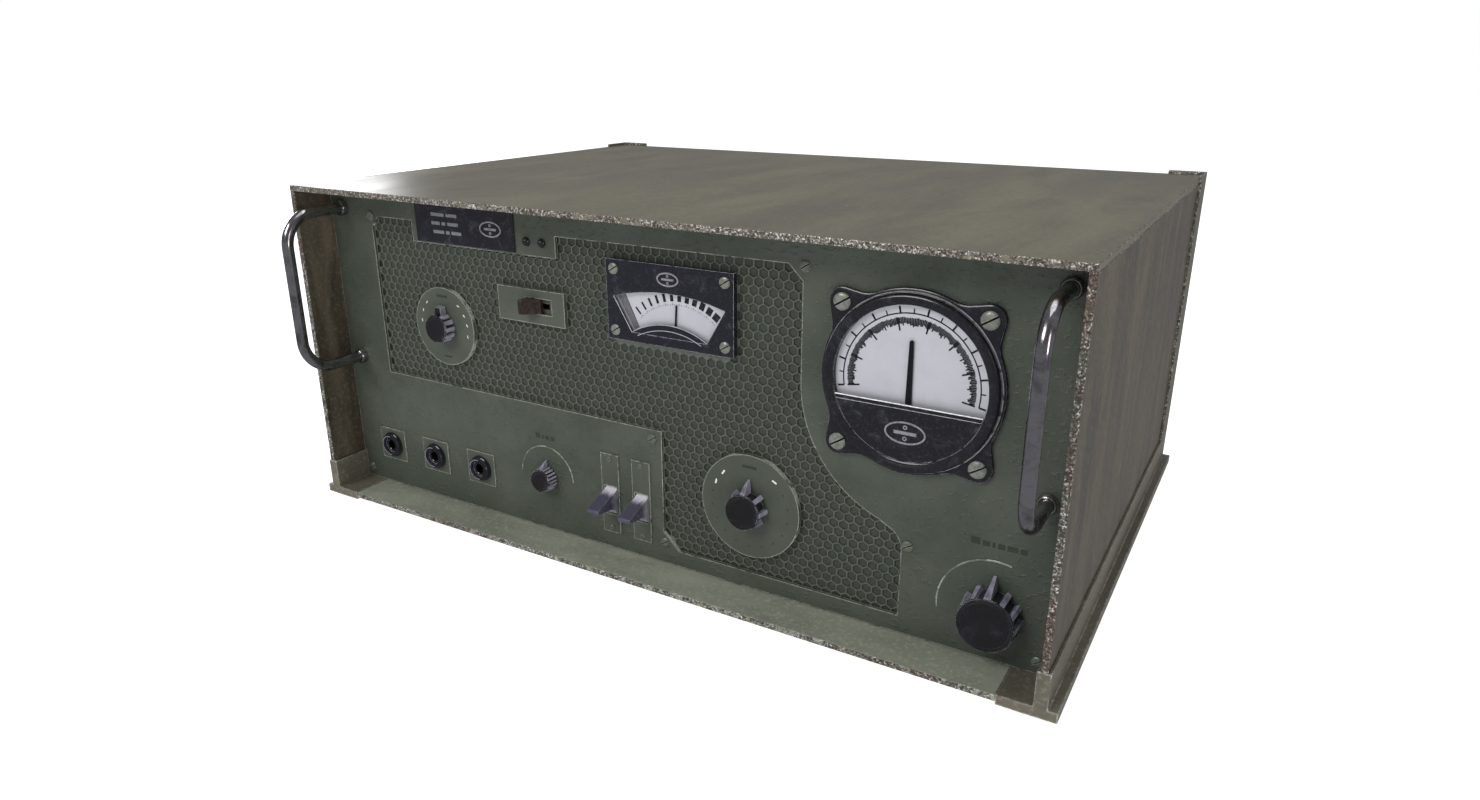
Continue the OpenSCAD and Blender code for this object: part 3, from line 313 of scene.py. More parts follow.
def phenolic(name, base=(22, 22, 28), scuff=(74, 74, 90), edge=(190, 190, 200), side=None, radius=0.5,
             scuffs=0.6, gloss=0.2):
    """Black phenolic moulding: clouded with pale scuffs, pale on its edges from rubs and painted highlight,
    and with a painted sheen on the sides when a side colour is given.

    radius is how far from an edge the pale rub and painted highlight reach, in millimetres; gloss is the
    roughness when clean.
    """
    g = Graph(name)
    smear = g.step(g.noise(85, 5, 0.65, warp=1.2), 0.5, 0.78)
    fine = g.step(g.noise(600, 3, 0.7), 0.5, 0.8)
    body = base
    if side:
        # painted sheen: faces that turn away from the front take the side colour, as the light they catch
        around = g.step(g.math("ABSOLUTE", g.facing(1)), 0.5, 0.85, 1, 0)
        patchy = g.step(g.noise(210, 2), 0.3, 0.6, 0.55, 1)
        body = g.mix(g.times(around, patchy), body, side)
    colour = g.mix(g.times(smear, scuffs * 0.55), body, scuff)
    colour = g.mix(g.times(fine, scuffs * 0.35), colour, scuff)
    # pale edges: rubs, and a painted highlight along the sharp edges
    worn = g.times(g.corner(radius, 0.04, 0.3), g.step(g.noise(260, 3), 0.32, 0.52))
    g.set(Base_Color=g.mix(worn, colour, edge),
          Roughness=g.mix(worn, g.step(smear, 0, 1, gloss, gloss + 0.22), 0.3, "FLOAT"),
          Specular_IOR_Level=0.55)
    g.bump(g.noise(500, 4, 0.6), 0.0001, 0.35)
    return g.material


def lever_plastic(name):
    """Switch lever: painted highlight near its root and on its upward faces, dark towards the tip, with pale
    edges from rubs and painted highlight.
    """
    g = Graph(name)
    smear = g.noise(160, 4, 0.65, warp=0.8)
    root = g.math("ADD", g.axes()[1], g.times(smear, 0.006))
    # painted highlight: upward faces and the part near the panel drawn bright, as lit from above
    upper = g.step(g.facing(2), -0.1, 0.5, 0.3, 1)
    share = g.times(g.step(root, PANEL_Y - 4 * MM, PANEL_Y + 1.5 * MM), upper)
    colour = g.mix(share, (72, 70, 88), (206, 203, 214))
    # pale edges: rubs, and a painted highlight on the bevels
    worn = g.times(g.corner(0.6, 0.04, 0.3), g.step(g.noise(260, 3), 0.3, 0.5))
    g.set(Base_Color=g.mix(worn, colour, (240, 240, 246)),
          Roughness=g.step(smear, 0.3, 0.7, 0.18, 0.34))
    g.bump(g.noise(500, 4, 0.6), 0.0001, 0.35)
    return g.material


def brown_plastic(name):
    """Brown moulding with a faint swirl, pale on its rubbed edges."""
    g = Graph(name)
    swirl = g.noise(130, 5, 0.6, warp=2.0)
    colour = g.mix(g.step(swirl, 0.35, 0.7), (30, 23, 22), (54, 40, 36))
    worn = g.times(g.corner(0.6, 0.04, 0.35), 0.85)
    g.set(Base_Color=g.mix(worn, colour, (150, 132, 122)),
          Roughness=g.step(swirl, 0.3, 0.7, 0.2, 0.36))
    g.bump(g.noise(450, 3), 0.0001, 0.3)
    return g.material


def chrome(name, base=(176, 174, 180)):
    """Plated steel, smudged and a little tarnished."""
    g = Graph(name)
    smudge = g.step(g.noise(60, 5, 0.7, warp=0.8), 0.42, 0.72)
    specks = g.step(g.noise(900, 3, 0.7), 0.6, 0.76)
    colour = g.mix(g.times(smudge, 0.85), base, (84, 79, 79))
    colour = g.mix(g.times(specks, 0.5), colour, (44, 38, 34))
    g.set(Base_Color=colour, Metallic=1.0, Roughness=g.step(smudge, 0, 1, 0.1, 0.24))
    g.bump(g.noise(400, 3), 0.00005, 0.25)
    return g.material


def screw_metal(name, light=(146, 148, 140), dark=(92, 95, 88)):
    """Screw heads dulled by grey-green paint and handling, with pale edges that are wear and also painted
    highlight.
    """
    g = Graph(name)
    rubbed = g.step(g.noise(420, 4, 0.7), 0.35, 0.68)
    # pale edges: wear, and a painted highlight round the domed heads
    worn = g.corner(0.4, 0.04, 0.35)
    colour = g.mix(rubbed, dark, light)
    g.set(Base_Color=g.mix(worn, colour, (206, 208, 200)), Metallic=g.times(rubbed, 0.5),
          Roughness=g.step(rubbed, 0, 1, 0.5, 0.34))
    g.bump(g.noise(800, 3), 0.00008, 0.4)
    return g.material


def dial_card(name):
    """White dial card with faint stains and flecks."""
    g = Graph(name)
    stain = g.step(g.noise(70, 5, 0.6), 0.4, 0.75)
    fleck = g.step(g.noise(700, 2), 0.64, 0.76)
    colour = g.mix(g.times(stain, 0.35), (190, 190, 199), (170, 170, 178))
    colour = g.mix(g.times(fleck, 0.2), colour, (150, 148, 146))
    g.set(Base_Color=colour, Roughness=g.step(stain, 0, 1, 0.5, 0.62))
    return g.material


def printed_ink(name, dark, faded):
    """Matt ink, or a thin rub of paint, mottled between two colours."""
    g = Graph(name)
    fade = g.step(g.noise(900, 3, 0.7), 0.4, 0.75)
    g.set(Base_Color=g.mix(g.times(fade, 0.7), dark, faded),
          Roughness=g.step(fade, 0, 1, 0.5, 0.65), Specular_IOR_Level=0.15)
    return g.material


def clear_glass(name):
    """Thin glazing with faint smears in its gloss; it lets light and shadow rays through."""
    g = Graph(name)
    smear = g.step(g.noise(60, 4, 0.6, warp=1.5), 0.45, 0.8)
    g.set(Base_Color=(58, 60, 66), Roughness=g.step(smear, 0, 1, 0.03, 0.11), IOR=1.3, Alpha=0.05)
    g.bump(g.noise(40, 2), 0.00005, 0.1)
    return g.material


def plain_metal(name, light, dark, metal, low, high):
    """Mottled metal, rubber or moulding for the pieces inside the case and behind it.

    low and high are the roughness where it is light and where it is dark.
    """
    g = Graph(name)
    mottle = g.step(g.noise(240, 5, 0.65), 0.32, 0.7)
    worn = g.times(g.corner(0.5, 0.04, 0.35), 0.6)
    colour = g.mix(mottle, dark, light)
    bright = brighter(light, 1.6, 0.03)
    g.set(Base_Color=g.mix(worn, colour, bright), Metallic=metal, Roughness=g.step(mottle, 0, 1, high, low))
    g.bump(g.noise(600, 3), 0.0001, 0.35)
    return g.material


def bulb_glass(name):
    """Tube envelope: clear glass with a silvery getter patch at the top."""
    g = Graph(name)
    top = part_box("vacuum_tubes")[1].z
    height = g.math("ADD", g.axes()[2], g.times(g.noise(120, 3), 0.006))
    getter = g.step(height, top - 22 * MM, top - 14 * MM)
    g.set(Base_Color=g.mix(getter, (214, 222, 224), (120, 118, 116)),
          Metallic=g.times(getter, 0.9), Roughness=0.08, Alpha=g.step(getter, 0, 1, 0.22, 0.95))
    return g.material


def winding(name):
    """Varnished laminations: thin dark lines along the stack."""
    g = Graph(name)
    lines = g.step(g.noise(30, 2, 0.5, at=g.stretched(1, 60, 1)), 0.4, 0.6)
    colour = g.mix(lines, (30, 29, 30), (62, 60, 60))
    g.set(Base_Color=colour, Roughness=g.step(lines, 0, 1, 0.3, 0.5))
    g.bump(lines, 0.0002, 0.5)
    return g.material


# ---------- mesh building ----------

def polar(r, degrees):
    return (r * math.cos(math.radians(degrees)), r * math.sin(math.radians(degrees)))


def spread(start, end, steps):
    """Evenly spaced values from start to end, both included."""
    return [start + (end - start) * i / steps for i in range(steps + 1)]


def add_object(name, data):
    made = bpy.data.objects.new(name, data)
    bpy.context.scene.collection.objects.link(made)
    return made


def take_mesh(name, bm):
    """Moves a bmesh into a new mesh and frees it."""
    mesh = bpy.data.meshes.new(name)
    bm.to_mesh(mesh)
    bm.free()
    return mesh


def finish_piece(name, bm, material, body="case", bevel=0.0, sharp=35, replaces=(), weld=False):
    """Turns a bmesh in the row frame into a named piece that rides on its body.

    bevel is in millimetres; edges sharper than `sharp` degrees stay sharp.
    """
    if weld:
        bmesh.ops.remove_doubles(bm, verts=bm.verts, dist=SAME_SPOT)
    bmesh.ops.recalc_face_normals(bm, faces=bm.faces)
    mesh = take_mesh(name, bm)
    mesh.shade_smooth()
    mesh.set_sharp_from_angle(angle=math.radians(sharp))
    mesh.materials.append(material)
    piece = add_object(name, mesh)
    if bevel:
        soften(piece, bevel)
    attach(piece, body)
    if replaces:
        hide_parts(*replaces)
    return piece


def soften(piece, width):
    """Rounds a piece's sharp edges by `width` millimetres."""
    made = piece.modifiers.new("edges", "BEVEL")
    made.width = width * MM
    made.segments = 2
    made.limit_method = "ANGLE"
    made.angle_limit = math.radians(32)
    made.harden_normals = False


def join_rings(bm, low, high):
    """Quads between two rings of vertices, or a fan where one of them is a single point."""
    count = max(len(low), len(high))
    for i in range(count):
        j = (i + 1) % count
        corners = [low[i % len(low)], low[j % len(low)], high[j % len(high)], high[i % len(high)]]
        unique = list(dict.fromkeys(corners))
        if len(unique) > 2:
            bm.faces.new(unique)


def skin(bm, rings, to_row=Matrix(), capped=True):
    """A surface through rings of points, each joined to the next, with the first and the last closed."""
    rings = [[bm.verts.new(to_row @ Vector(spot)) for spot in ring] for ring in rings]
    for low, high in zip(rings, rings[1:]):
        join_rings(bm, low, high)
    if capped:
        bm.faces.new(rings[0][::-1])
        bm.faces.new(rings[-1])


def lathe(bm, profile, to_row, steps):
    """Turns (radius, out) points in millimetres about a control's axis; closed where the radius is 0."""
    turns = spread(0, 360, steps)[:-1]
    rings = [[(*polar(r, a), w) for a in turns] if r else [(0, 0, w)] for r, w in profile]
    skin(bm, rings, to_row, capped=False)


def prism(bm, outline, low, high, to_row):
    """A closed plate: an outline of (right, up) points from `low` to `high` in front of the panel."""
    skin(bm, [[(u, v, w) for u, v in outline] for w in (low, high)], to_row)


def blade(bm, to_row, degrees, rows):
    """A fin at an angle round a knob: (distance from the axis, out, width) corners of its side outline."""
    turn = to_row @ Matrix.Rotation(math.radians(degrees), 4, "Z")
    skin(bm, [[(r, side * width / 2, w) for r, w, width in rows] for side in (-1, 1)], turn)


def islands(node):
    """Boxes of a node's separate bodies, as (lo, hi) corners."""
    bm = bmesh.new()
    bm.from_mesh(nodes[node].data)
    bmesh.ops.remove_doubles(bm, verts=bm.verts, dist=SAME_SPOT)
    left = set(bm.verts)
    boxes = []
    while left:
        stack = [left.pop()]
        spots = []
        while stack:
            vert = stack.pop()
            spots.append(vert.co)
            for edge in vert.link_edges:
                other = edge.other_vert(vert)
                if other in left:
                    left.remove(other)
                    stack.append(other)
        boxes.append([Vector([end(spot[axis] for spot in spots) for axis in range(3)]) for end in (min, max)])
    bm.free()
    return sorted(boxes, key=lambda box: (round(box[0].x, 4), round(box[0].z, 4)))


def bar(bm, start, end, width, low, high, to_row):
    """A straight stroke between two (right, up) points."""
    a, b = Vector(start), Vector(end)
    side = (b - a).normalized().orthogonal() * width / 2
    prism(bm, [a - side, b - side, b + side, a + side], low, high, to_row)


def arc_band(bm, r_in, r_out, start, end, low, high, to_row, steps=48):
    """A curved stroke, counted in degrees from the right, counter-clockwise."""
    angles = spread(start, end, steps)
    outline = [polar(r_out, a) for a in angles] + [polar(r_in, a) for a in reversed(angles)]
    prism(bm, outline, low, high, to_row)


def ring_band(bm, r_in, r_out, low, high, to_row, steps=64, squash=1.0):
    """A flat ring; squash below 1 makes it oval."""
    thick = r_out - r_in
    for half in (0, 180):
        angles = spread(half, half + 180, steps)
        outer = [(polar(r_out, a)[0], polar(r_out, a)[1] * squash) for a in angles]
        inner = [(polar(r_in, a)[0], polar(r_out * squash - thick, a)[1]) for a in reversed(angles)]
        prism(bm, outer + inner, low, high, to_row)


def tube(bm, path, radius, sides):
    """A round rod along a path of points in a plane square to X, capped at both ends."""
    circle = [polar(radius, a) for a in spread(0, 360, sides)[:-1]]
    rings = []
    for i, at in enumerate(path):
        ahead = (path[min(i + 1, len(path) - 1)] - path[max(i - 1, 0)]).normalized()
        across = ahead.cross(ALONG_X).normalized()
        rings.append([at + u * ALONG_X + v * across for u, v in circle])
    skin(bm, rings)


# ---------- carried-over CAD nodes ----------

def dress(names, material, bevel=0.0, flat=False):
    """Gives CAD nodes, named in one string, a material; bevel rounds their edges where that shows."""
    for name in names.split():
        piece = nodes[name]
        piece.data.materials.clear()
        piece.data.materials.append(material)
        if bevel:
            weld = piece.modifiers.new("weld", "WELD")
            weld.merge_threshold = SAME_SPOT
            soften(piece, bevel)
            if flat:
                piece.data.shade_flat()
            else:
                even = piece.modifiers.new("even", "WEIGHTED_NORMAL")
                even.weight = 100
                even.keep_sharp = False


def dress_case():
    sheets = {
        "top_cover": dict(tone=(106, 101, 85), streak=(1, 0.25, 1), wear=1.0, rusty=0.25),
        "floor_pan": dict(tone=(140, 146, 132), streak=(0.4, 1, 1), wear=0.8, speckle=0.9),
        "rear_panel": dict(tone=(84, 81, 70), streak=(1, 1, 0.3), wear=1.0)}
    for side in ("left", "right"):
        sheets[side + "_side_panel"] = dict(tone=(76, 69, 57), streak=(1, 2.2, 0.35), wear=1.3, rusty=0.6,
                                            speckle=0.14, contrast=1.3)
        sheets[side + "_skid_rail"] = dict(tone=(96, 92, 80), streak=(1, 0.2, 1), wear=1.3, speckle=0.25,
                                           ridge_wear_and_glint=True)
        sheets[side + "_rear_post"] = dict(tone=(86, 84, 73), streak=(1, 1, 0.2), wear=1.2)
    for node, look in sheets.items():
        dress(node, case_enamel(node, **look), 0.3 if node == "rear_panel" else 0.4, flat=True)


def dress_panel():
    dress("front_panel", panel_paint("panel_green", worn=0.9))
    dress("selector_dial_plate tone_dial_plate control_plates",
          panel_paint("plate_green", light=(76, 82, 73), dark=(66, 72, 63), worn=1.0, grain=0.4))
    dress("grille_backing", panel_paint("backing_green", light=(46, 52, 42), dark=(36, 41, 33)))
    dress("name_plate", phenolic("name_plate_black", scuffs=0.9, edge=(150, 150, 158)), 0.3)
    dress("indicator_lamps",
          phenolic("lamp_lens", base=(26, 30, 27), scuff=(60, 66, 60), scuffs=0.3, gloss=0.08))


def dress_controls():
    dress("left_boost_lever right_boost_lever", lever_plastic("lever_black"), 0.4)
    dress("slide_button", brown_plastic("button_brown"), 0.35)
    dress("level_meter_dial", dial_card("level_card"))
    dress("tuning_meter_dial", dial_card("tuning_card"))
    dress("level_meter_needle tuning_meter_needle",
          printed_ink("needle_paint", (10, 10, 14), (24, 24, 30)), 0.08)
    dress("level_meter_window tuning_meter_window", clear_glass("meter_glass"))
    dress("tuning_meter_housing", phenolic("tuning_black", base=(24, 24, 32), scuffs=0.8), 0.3)


# nodes, then the material's name, light and dark colours, metal share, and low and high roughness
INSIDE = (
    ("selector_shaft fine_shaft tone_shaft volume_shaft",
     ("shaft_steel", (176, 174, 170), (120, 118, 114), 1.0, 0.25, 0.42)),
    ("switch_bodies", ("switch_plate", (126, 122, 112), (84, 80, 72), 0.7, 0.4, 0.55)),
    ("chassis if_transformer_cans filter_capacitors",
     ("chassis_metal", (178, 178, 172), (138, 138, 132), 0.9, 0.35, 0.5)),
    ("tuning_capacitor", ("vane_metal", (188, 184, 168), (140, 136, 122), 0.9, 0.3, 0.5)),
    ("capacitor_rotor", ("rotor_metal", (196, 194, 186), (150, 148, 140), 1.0, 0.3, 0.45)),
    ("tube_sockets rotary_switch", ("phenolic_brown", (88, 58, 40), (56, 36, 27), 0.0, 0.4, 0.55)),
    ("drive_gear drive_pinion antenna_terminals",
     ("gear_brass", (196, 164, 92), (150, 120, 62), 1.0, 0.28, 0.45)),
    ("potentiometers", ("pot_metal", (152, 146, 132), (108, 102, 90), 0.8, 0.35, 0.5)))


def dress_inside():
    for names, look in INSIDE:
        dress(names, plain_metal(*look))
    dress("rubber_feet", plain_metal("foot_rubber", (44, 43, 42), (24, 24, 24), 0.0, 0.7, 0.85), 0.5)
    dress("fuse_holder lead_gland",
          plain_metal("moulded_black", (40, 40, 44), (22, 22, 25), 0.0, 0.3, 0.5), 0.3)
    dress("transformers", winding("core_laminations"))
    dress("vacuum_tubes", bulb_glass("tube_glass"))


# ---------- honeycomb ----------

CELL_PITCH = (5.74, 4.73)   # across a row and from row to row
CELL_R = (2.77, 2.64)       # corner radius of a cell across and up
CELL_RINGS = ((-0.5, 1.3), (0.3, 1.04), (1.0, 0.93))  # (depth behind the face, share of the radius)
CELL_ROOM = 1.32            # a cell is cut where the plate holds a hexagon this many times its size


def cell_corners(x, z, share):
    corners = [polar(share, 30 + 60 * k) for k in range(6)]
    return [(x + CELL_R[0] * u * MM, z + CELL_R[1] * v * MM) for u, v in corners]


def cell_cutters(solid, lo, hi):
    """Tapered plugs at every place of a hexagonal grid that the plate holds."""
    bm = bmesh.new()
    rows = int((hi.z - lo.z) / (CELL_PITCH[1] * MM)) + 1
    columns = int((hi.x - lo.x) / (CELL_PITCH[0] * MM)) + 1
    for row in range(rows):
        for column in range(columns):
            x = lo.x + (column + 0.5 * (row % 2)) * CELL_PITCH[0] * MM
            z = lo.z + row * CELL_PITCH[1] * MM
            edge = cell_corners(x, z, CELL_ROOM)
            if all(solid.ray_cast(Vector((u, lo.y - 1, v)), ALONG_Y)[0] is not None for u, v in edge):
                skin(bm, [[(u, lo.y + depth * MM, v) for u, v in cell_corners(x, z, share)]
                          for depth, share in CELL_RINGS])
    bmesh.ops.recalc_face_normals(bm, faces=bm.faces)
    return bm


def honeycomb_plate():
    """The CAD's grille plate with blind tapered cells cut into its face."""
    source = bmesh.new()
    source.from_mesh(nodes["honeycomb_grille"].data)
    bmesh.ops.remove_doubles(source, verts=source.verts, dist=SAME_SPOT)
    plugs = cell_cutters(BVHTree.FromBMesh(source), *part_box("honeycomb_grille"))
    tool = add_object("cell_cutters", take_mesh("cell_cutters", plugs))
    plate = finish_piece("honeycomb_plate", source, grille_paint(),
                         replaces=("honeycomb_grille",))
    cut = plate.modifiers.new("cells", "BOOLEAN")
    cut.operation = "DIFFERENCE"
    cut.solver = "MANIFOLD"
    cut.object = tool
    graph = bpy.context.evaluated_depsgraph_get()
    done = bpy.data.meshes.new_from_object(plate.evaluated_get(graph))
    plate.modifiers.clear()
    plate.data = done
    done.shade_flat()
    bpy.data.objects.remove(tool)


# ---------- level meter ----------

LEVEL_EAR = 35.85           # screw centre across and up
LEVEL_FLANGE_R = 46.3
LEVEL_EAR_R = 7.2
LEVEL_FLARE_R = 36          # the ears' straight flanks would touch a circle of this radius
LEVEL_FILLET = 3            # between an ear's flank and the flange
LEVEL_BORE_R = 44           # inside of the flange
LEVEL_GLASS_R = 38.6
LEVEL_CHORD = -9.7          # upper edge of the lower cover
LEVEL_CARD_TOP = 1.6
FLANGE_STEPS = 288
FLANGE_EDGE = ((0.0, 0.0), (1.3, 0.0), (2.1, 0.35), (2.5, 1.1))   # (height, inset) up its rounded edge
LEVEL_RIM = (               # (radius, height) round the rim between the flange and the glass
    (44.6, 2.3), (44.6, 3.1), (44.1, 3.4), (44.0, 4.7), (43.3, 5.6), (42.2, 6.0), (41.0, 5.9), (40.2, 5.3),
    (39.7, 5.2), (39.1, 5.0), (38.65, 4.5), (LEVEL_GLASS_R, 0.8), (44.6, 0.8), (44.6, 2.3))


def soft_union(a, b, k):
    """Blends two distances so that the shapes meet in a fillet."""
    h = max(k - abs(a - b), 0) / k
    return min(a, b) - h * h * k / 4


def ear_distance(at):
    """Distance to the nearest ear with its flared flanks: a capsule that widens towards the meter."""
    along = (abs(at.x) + abs(at.y)) / math.sqrt(2)
    across = abs(abs(at.y) - abs(at.x)) / math.sqrt(2)
    reach = LEVEL_EAR * math.sqrt(2)
    lean = (LEVEL_FLARE_R - LEVEL_EAR_R) / reach
    upright = math.sqrt(1 - lean * lean)
    place = along * upright - across * lean
    if place > upright * reach:
        return math.hypot(along - reach, across) - LEVEL_EAR_R
    return across * upright + along * lean - LEVEL_FLARE_R


def flange_radius(degrees):
    """Distance from the meter's centre to the flange outline, found by halving."""
    ray = Vector(polar(1, degrees))
    near, far = LEVEL_FLANGE_R - 2, LEVEL_FLANGE_R + 20
    for _ in range(30):
        r = (near + far) / 2
        at = ray * r
        if soft_union(at.length - LEVEL_FLANGE_R, ear_distance(at), LEVEL_FILLET) < 0:
            near = r
        else:
            far = r
    return near


def level_meter_case():
    """Eared flange and raised rim. Both outlines close on their first ring, so they need the weld."""
    bm = bmesh.new()
    turns = spread(0, 360, FLANGE_STEPS)[:-1]
    outline = [polar(flange_radius(a), a) for a in turns]
    rings = []
    for w, inset in FLANGE_EDGE:
        share = 1 - inset / LEVEL_FLANGE_R
        rings.append([(u * share, v * share, w) for u, v in outline])
    for w in (FLANGE_EDGE[-1][0], 0.0):
        rings.append([(*polar(LEVEL_BORE_R, a), w) for a in turns])
    skin(bm, rings + rings[:1], LEVEL, capped=False)
    lathe(bm, LEVEL_RIM, LEVEL, 160)
    # the near-white edge colour is rubbing and also a painted highlight on the flange's and rim's edges
    look = phenolic("level_black", scuffs=0.7, edge=(214, 214, 222), radius=0.8)
    finish_piece("level_meter_case", bm, look, replaces=("level_meter_housing",), weld=True)


def disc_segment(r, low, high, steps=72):
    """Outline of the part of a disc between two heights."""
    def side(v):
        return math.degrees(math.asin(max(-1, min(1, v / r))))
    right = [polar(r, a) for a in spread(side(low), side(high), steps)]
    left = [(-u, v) for u, v in reversed(right)]
    return right + left


def level_meter_cover():
    """Black apron over the needle's root, with a raised lip along its upper edge and two thin painted
    highlight lines on it.
    """
    apron, highlight_strokes = bmesh.new(), bmesh.new()
    r = LEVEL_GLASS_R - 0.06
    back, face, lip = 3.5, 4.5, 5.2
    prism(apron, disc_segment(r, -r + 0.001, LEVEL_CHORD - 1.9), back, face, LEVEL)
    prism(apron, disc_segment(r, LEVEL_CHORD - 2.2, LEVEL_CHORD), back, lip, LEVEL)
    half = math.sqrt(r * r - LEVEL_CHORD ** 2) - 0.3
    # painted highlight: two thin pale bars along the lip's edges
    for end, down, width, low, high in ((half, 0.06, 0.5, 4.5, 5.24), (half - 1, 2.3, 0.25, 4.4, 5.0)):
        bar(highlight_strokes, (-end, LEVEL_CHORD - down), (end, LEVEL_CHORD - down), width, low, high, LEVEL)
    finish_piece("level_meter_highlight_line", highlight_strokes, printed_ink("painted_edge_highlight", (236, 236, 240), (120, 120, 132)),
                 bevel=0.08)
    # the apron's pale edge colour is rubbing and also a painted highlight along its edges
    finish_piece("level_meter_apron", apron, phenolic("apron_black", scuffs=1.0, edge=(196, 196, 206)),
                 bevel=0.3, replaces=("level_meter_cover",))


def level_scale():
    """Printed scale: an arc with outward ticks over a dense, worn band of inward ticks."""
    bm = bmesh.new()
    low, high = LEVEL_CARD_TOP, LEVEL_CARD_TOP + 0.05
    start, end = 190, -10     # degrees from the right
    arc_band(bm, 33.9, 34.55, end, start, low, high, LEVEL, 120)
    for i, a in enumerate(spread(start, end, 18)):
        reach, width = (37.7, 0.95) if i % 2 == 0 else (36.6, 0.65)
        bar(bm, polar(34.2, a), polar(reach, a), width, low, high, LEVEL)
    wear = random.Random(7)
    for i, a in enumerate(spread(start, end, 140)):
        if i % 20 == 0:
            bar(bm, polar(32.4, a), polar(26, a), 0.85, low, high, LEVEL)
        else:
            reach = 27.6 if i % 10 == 0 else wear.uniform(28.2, 29.8)
            bar(bm, polar(wear.uniform(31.9, 32.5), a), polar(reach, a), 0.66, low, high, LEVEL)
    ink = printed_ink("scale_ink", (20, 20, 26), (46, 46, 54))
    finish_piece("level_meter_scale", bm, ink)


def badge(name, to_row, low, size):
    """Plain oval badge with a bar and two studs, in worn grey paint."""
    bm = bmesh.new()
    high = low + 0.12
    ring_band(bm, size - 0.9, size, low, high, to_row, squash=0.55)
    bar(bm, (-size * 0.55, 0), (size * 0.55, 0), size * 0.16, low, high, to_row)
    for side in (-1, 1):
        stud = to_row @ Matrix.Translation((0, side * size * 0.27, 0))
        ring_band(bm, size * 0.05, size * 0.11, low, high, stud, steps=12)
    finish_piece(name, bm, printed_ink(name + "_paint", (132, 130, 138), (62, 60, 68)))


# ---------- tuning meter ----------

FAN_PIVOT = -57.5           # height of the needle's axis over the meter's middle
FAN_INNER = 47.4            # radius of the window's lower edge about the pivot
FAN_HALF = 31               # degrees from the window's middle to its sides
FAN_TOP = 7.2               # height of the window's upper edge over the meter's middle
FAN_TOP_R = 126             # radius of that edge
TUNING_CARD = -0.8          # front of the tuning meter's card behind the panel's face


def fan_upper(degrees):
    """Radius about the needle's pivot of the window's upper edge, at an angle from straight up."""
    c, s = polar(1, degrees)
    drop = FAN_TOP - FAN_TOP_R - FAN_PIVOT
    return drop * c + math.sqrt(FAN_TOP_R ** 2 - (drop * s) ** 2)


def fan_point(r, degrees):
    """A point at a radius about the needle's pivot and an angle from straight up."""
    c, s = polar(1, degrees)
    return (r * s, FAN_PIVOT + r * c)


TUNING_ARC = ((5, -34), 39.2)   # centre and radius of the row of blocks
TUNING_BAND = (-30.6, -26.2)    # shaded end of the scale


def tuning_scale():
    """Printed scale whose blocks grow from hairlines on the left to squares on the right."""
    bm = bmesh.new()
    low, high = TUNING_CARD, TUNING_CARD + 0.05
    (cx, cy), r = TUNING_ARC

    def spot(reach, degrees):
        u, v = polar(reach, degrees)
        return (cx + u, cy + v)

    for share in spread(0, 1, 11):
        a = 132.5 - 79.5 * share
        width, tall = 1.1 + 2.8 * share ** 1.3, 4.8 - 0.5 * share
        bar(bm, spot(r - tall / 2, a), spot(r + tall / 2, a), width, low, high, TUNING)
        for k in (-1, 0, 1):
            b = a + k * 2.2
            bar(bm, spot(r - 4.4, b), spot(r - 3.2 - 0.6 * abs(k), b), 0.3, low, high, TUNING)
    left, right = TUNING_BAND
    inner = FAN_INNER + 0.4
    foot, head = fan_point(inner, right), fan_point(fan_upper(right) - 0.4, right)
    bar(bm, foot, head, 0.4, low, high, TUNING)
    ink = printed_ink("tuning_ink", (20, 20, 26), (70, 70, 78))
    finish_piece("tuning_meter_scale", bm, ink)
    shade = bmesh.new()
    band = [fan_point(inner, left), foot, head, fan_point(fan_upper(left) - 0.4, left)]
    prism(shade, band, low, low + 0.04, TUNING)
    finish_piece("tuning_meter_band", shade, printed_ink("band_grey", (104, 102, 108), (134, 132, 138)))


def tuning_frame_edges():
    """Painted highlight lines on the fan window's rims: its left side, and the lip over the needle's pivot.
    """
    bm = bmesh.new()
    left = -FAN_HALF - 0.25
    bar(bm, fan_point(FAN_INNER - 0.3, left), fan_point(fan_upper(left) + 0.1, left), 0.4, 1.6, 1.86, TUNING)
    for start, low, high, r in ((-FAN_HALF, 1.4, 1.72, FAN_INNER - 0.2), (-28, 1.7, 1.95, FAN_INNER - 3.4)):
        angles = spread(start, -start, 24)
        for a, b in zip(angles, angles[1:]):
            bar(bm, fan_point(r, a), fan_point(r, b), 0.35, low, high, TUNING)
    # pale paint that stands for the light caught on the rims' edges
    paint = printed_ink("rim_highlight", (172, 172, 186), (90, 90, 104))
    finish_piece("tuning_meter_rim_highlights", bm, paint)


# ---------- knobs ----------

def knob_core(bm, to_row, r, h, base, groove):
    """Turned body: a grooved drum behind a bevelled disc with a shallow dish."""
    lathe(bm, [(0, base), (r - groove, base), (r - groove, h - 2.4), (r - 0.3, h - 1.7), (r - 0.05, h - 0.9),
               (r - 0.5, h - 0.2), (r - 1.2, h), (r - 1.9, h - 0.1), (r - 2.4, h - 0.35), (0, h - 0.35)],
          to_row, 96)


def knob_ribs(bm, to_row, r, h, base, ribs, width, groove, flare):
    """Grip ribs that lean outwards towards the panel, all round but for the pointer's place."""
    inner = r - groove - 0.5
    for i in range(1, ribs):
        blade(bm, to_row, 90 + 360 * i / ribs, [
            (inner, base, width * 1.25), (r + flare, base, width), (r + flare * 0.9, base + 1, width),
            (r, h - 1.7, width * 0.9), (r - 0.15, h - 0.8, width * 0.8), (inner, h - 0.8, width)])


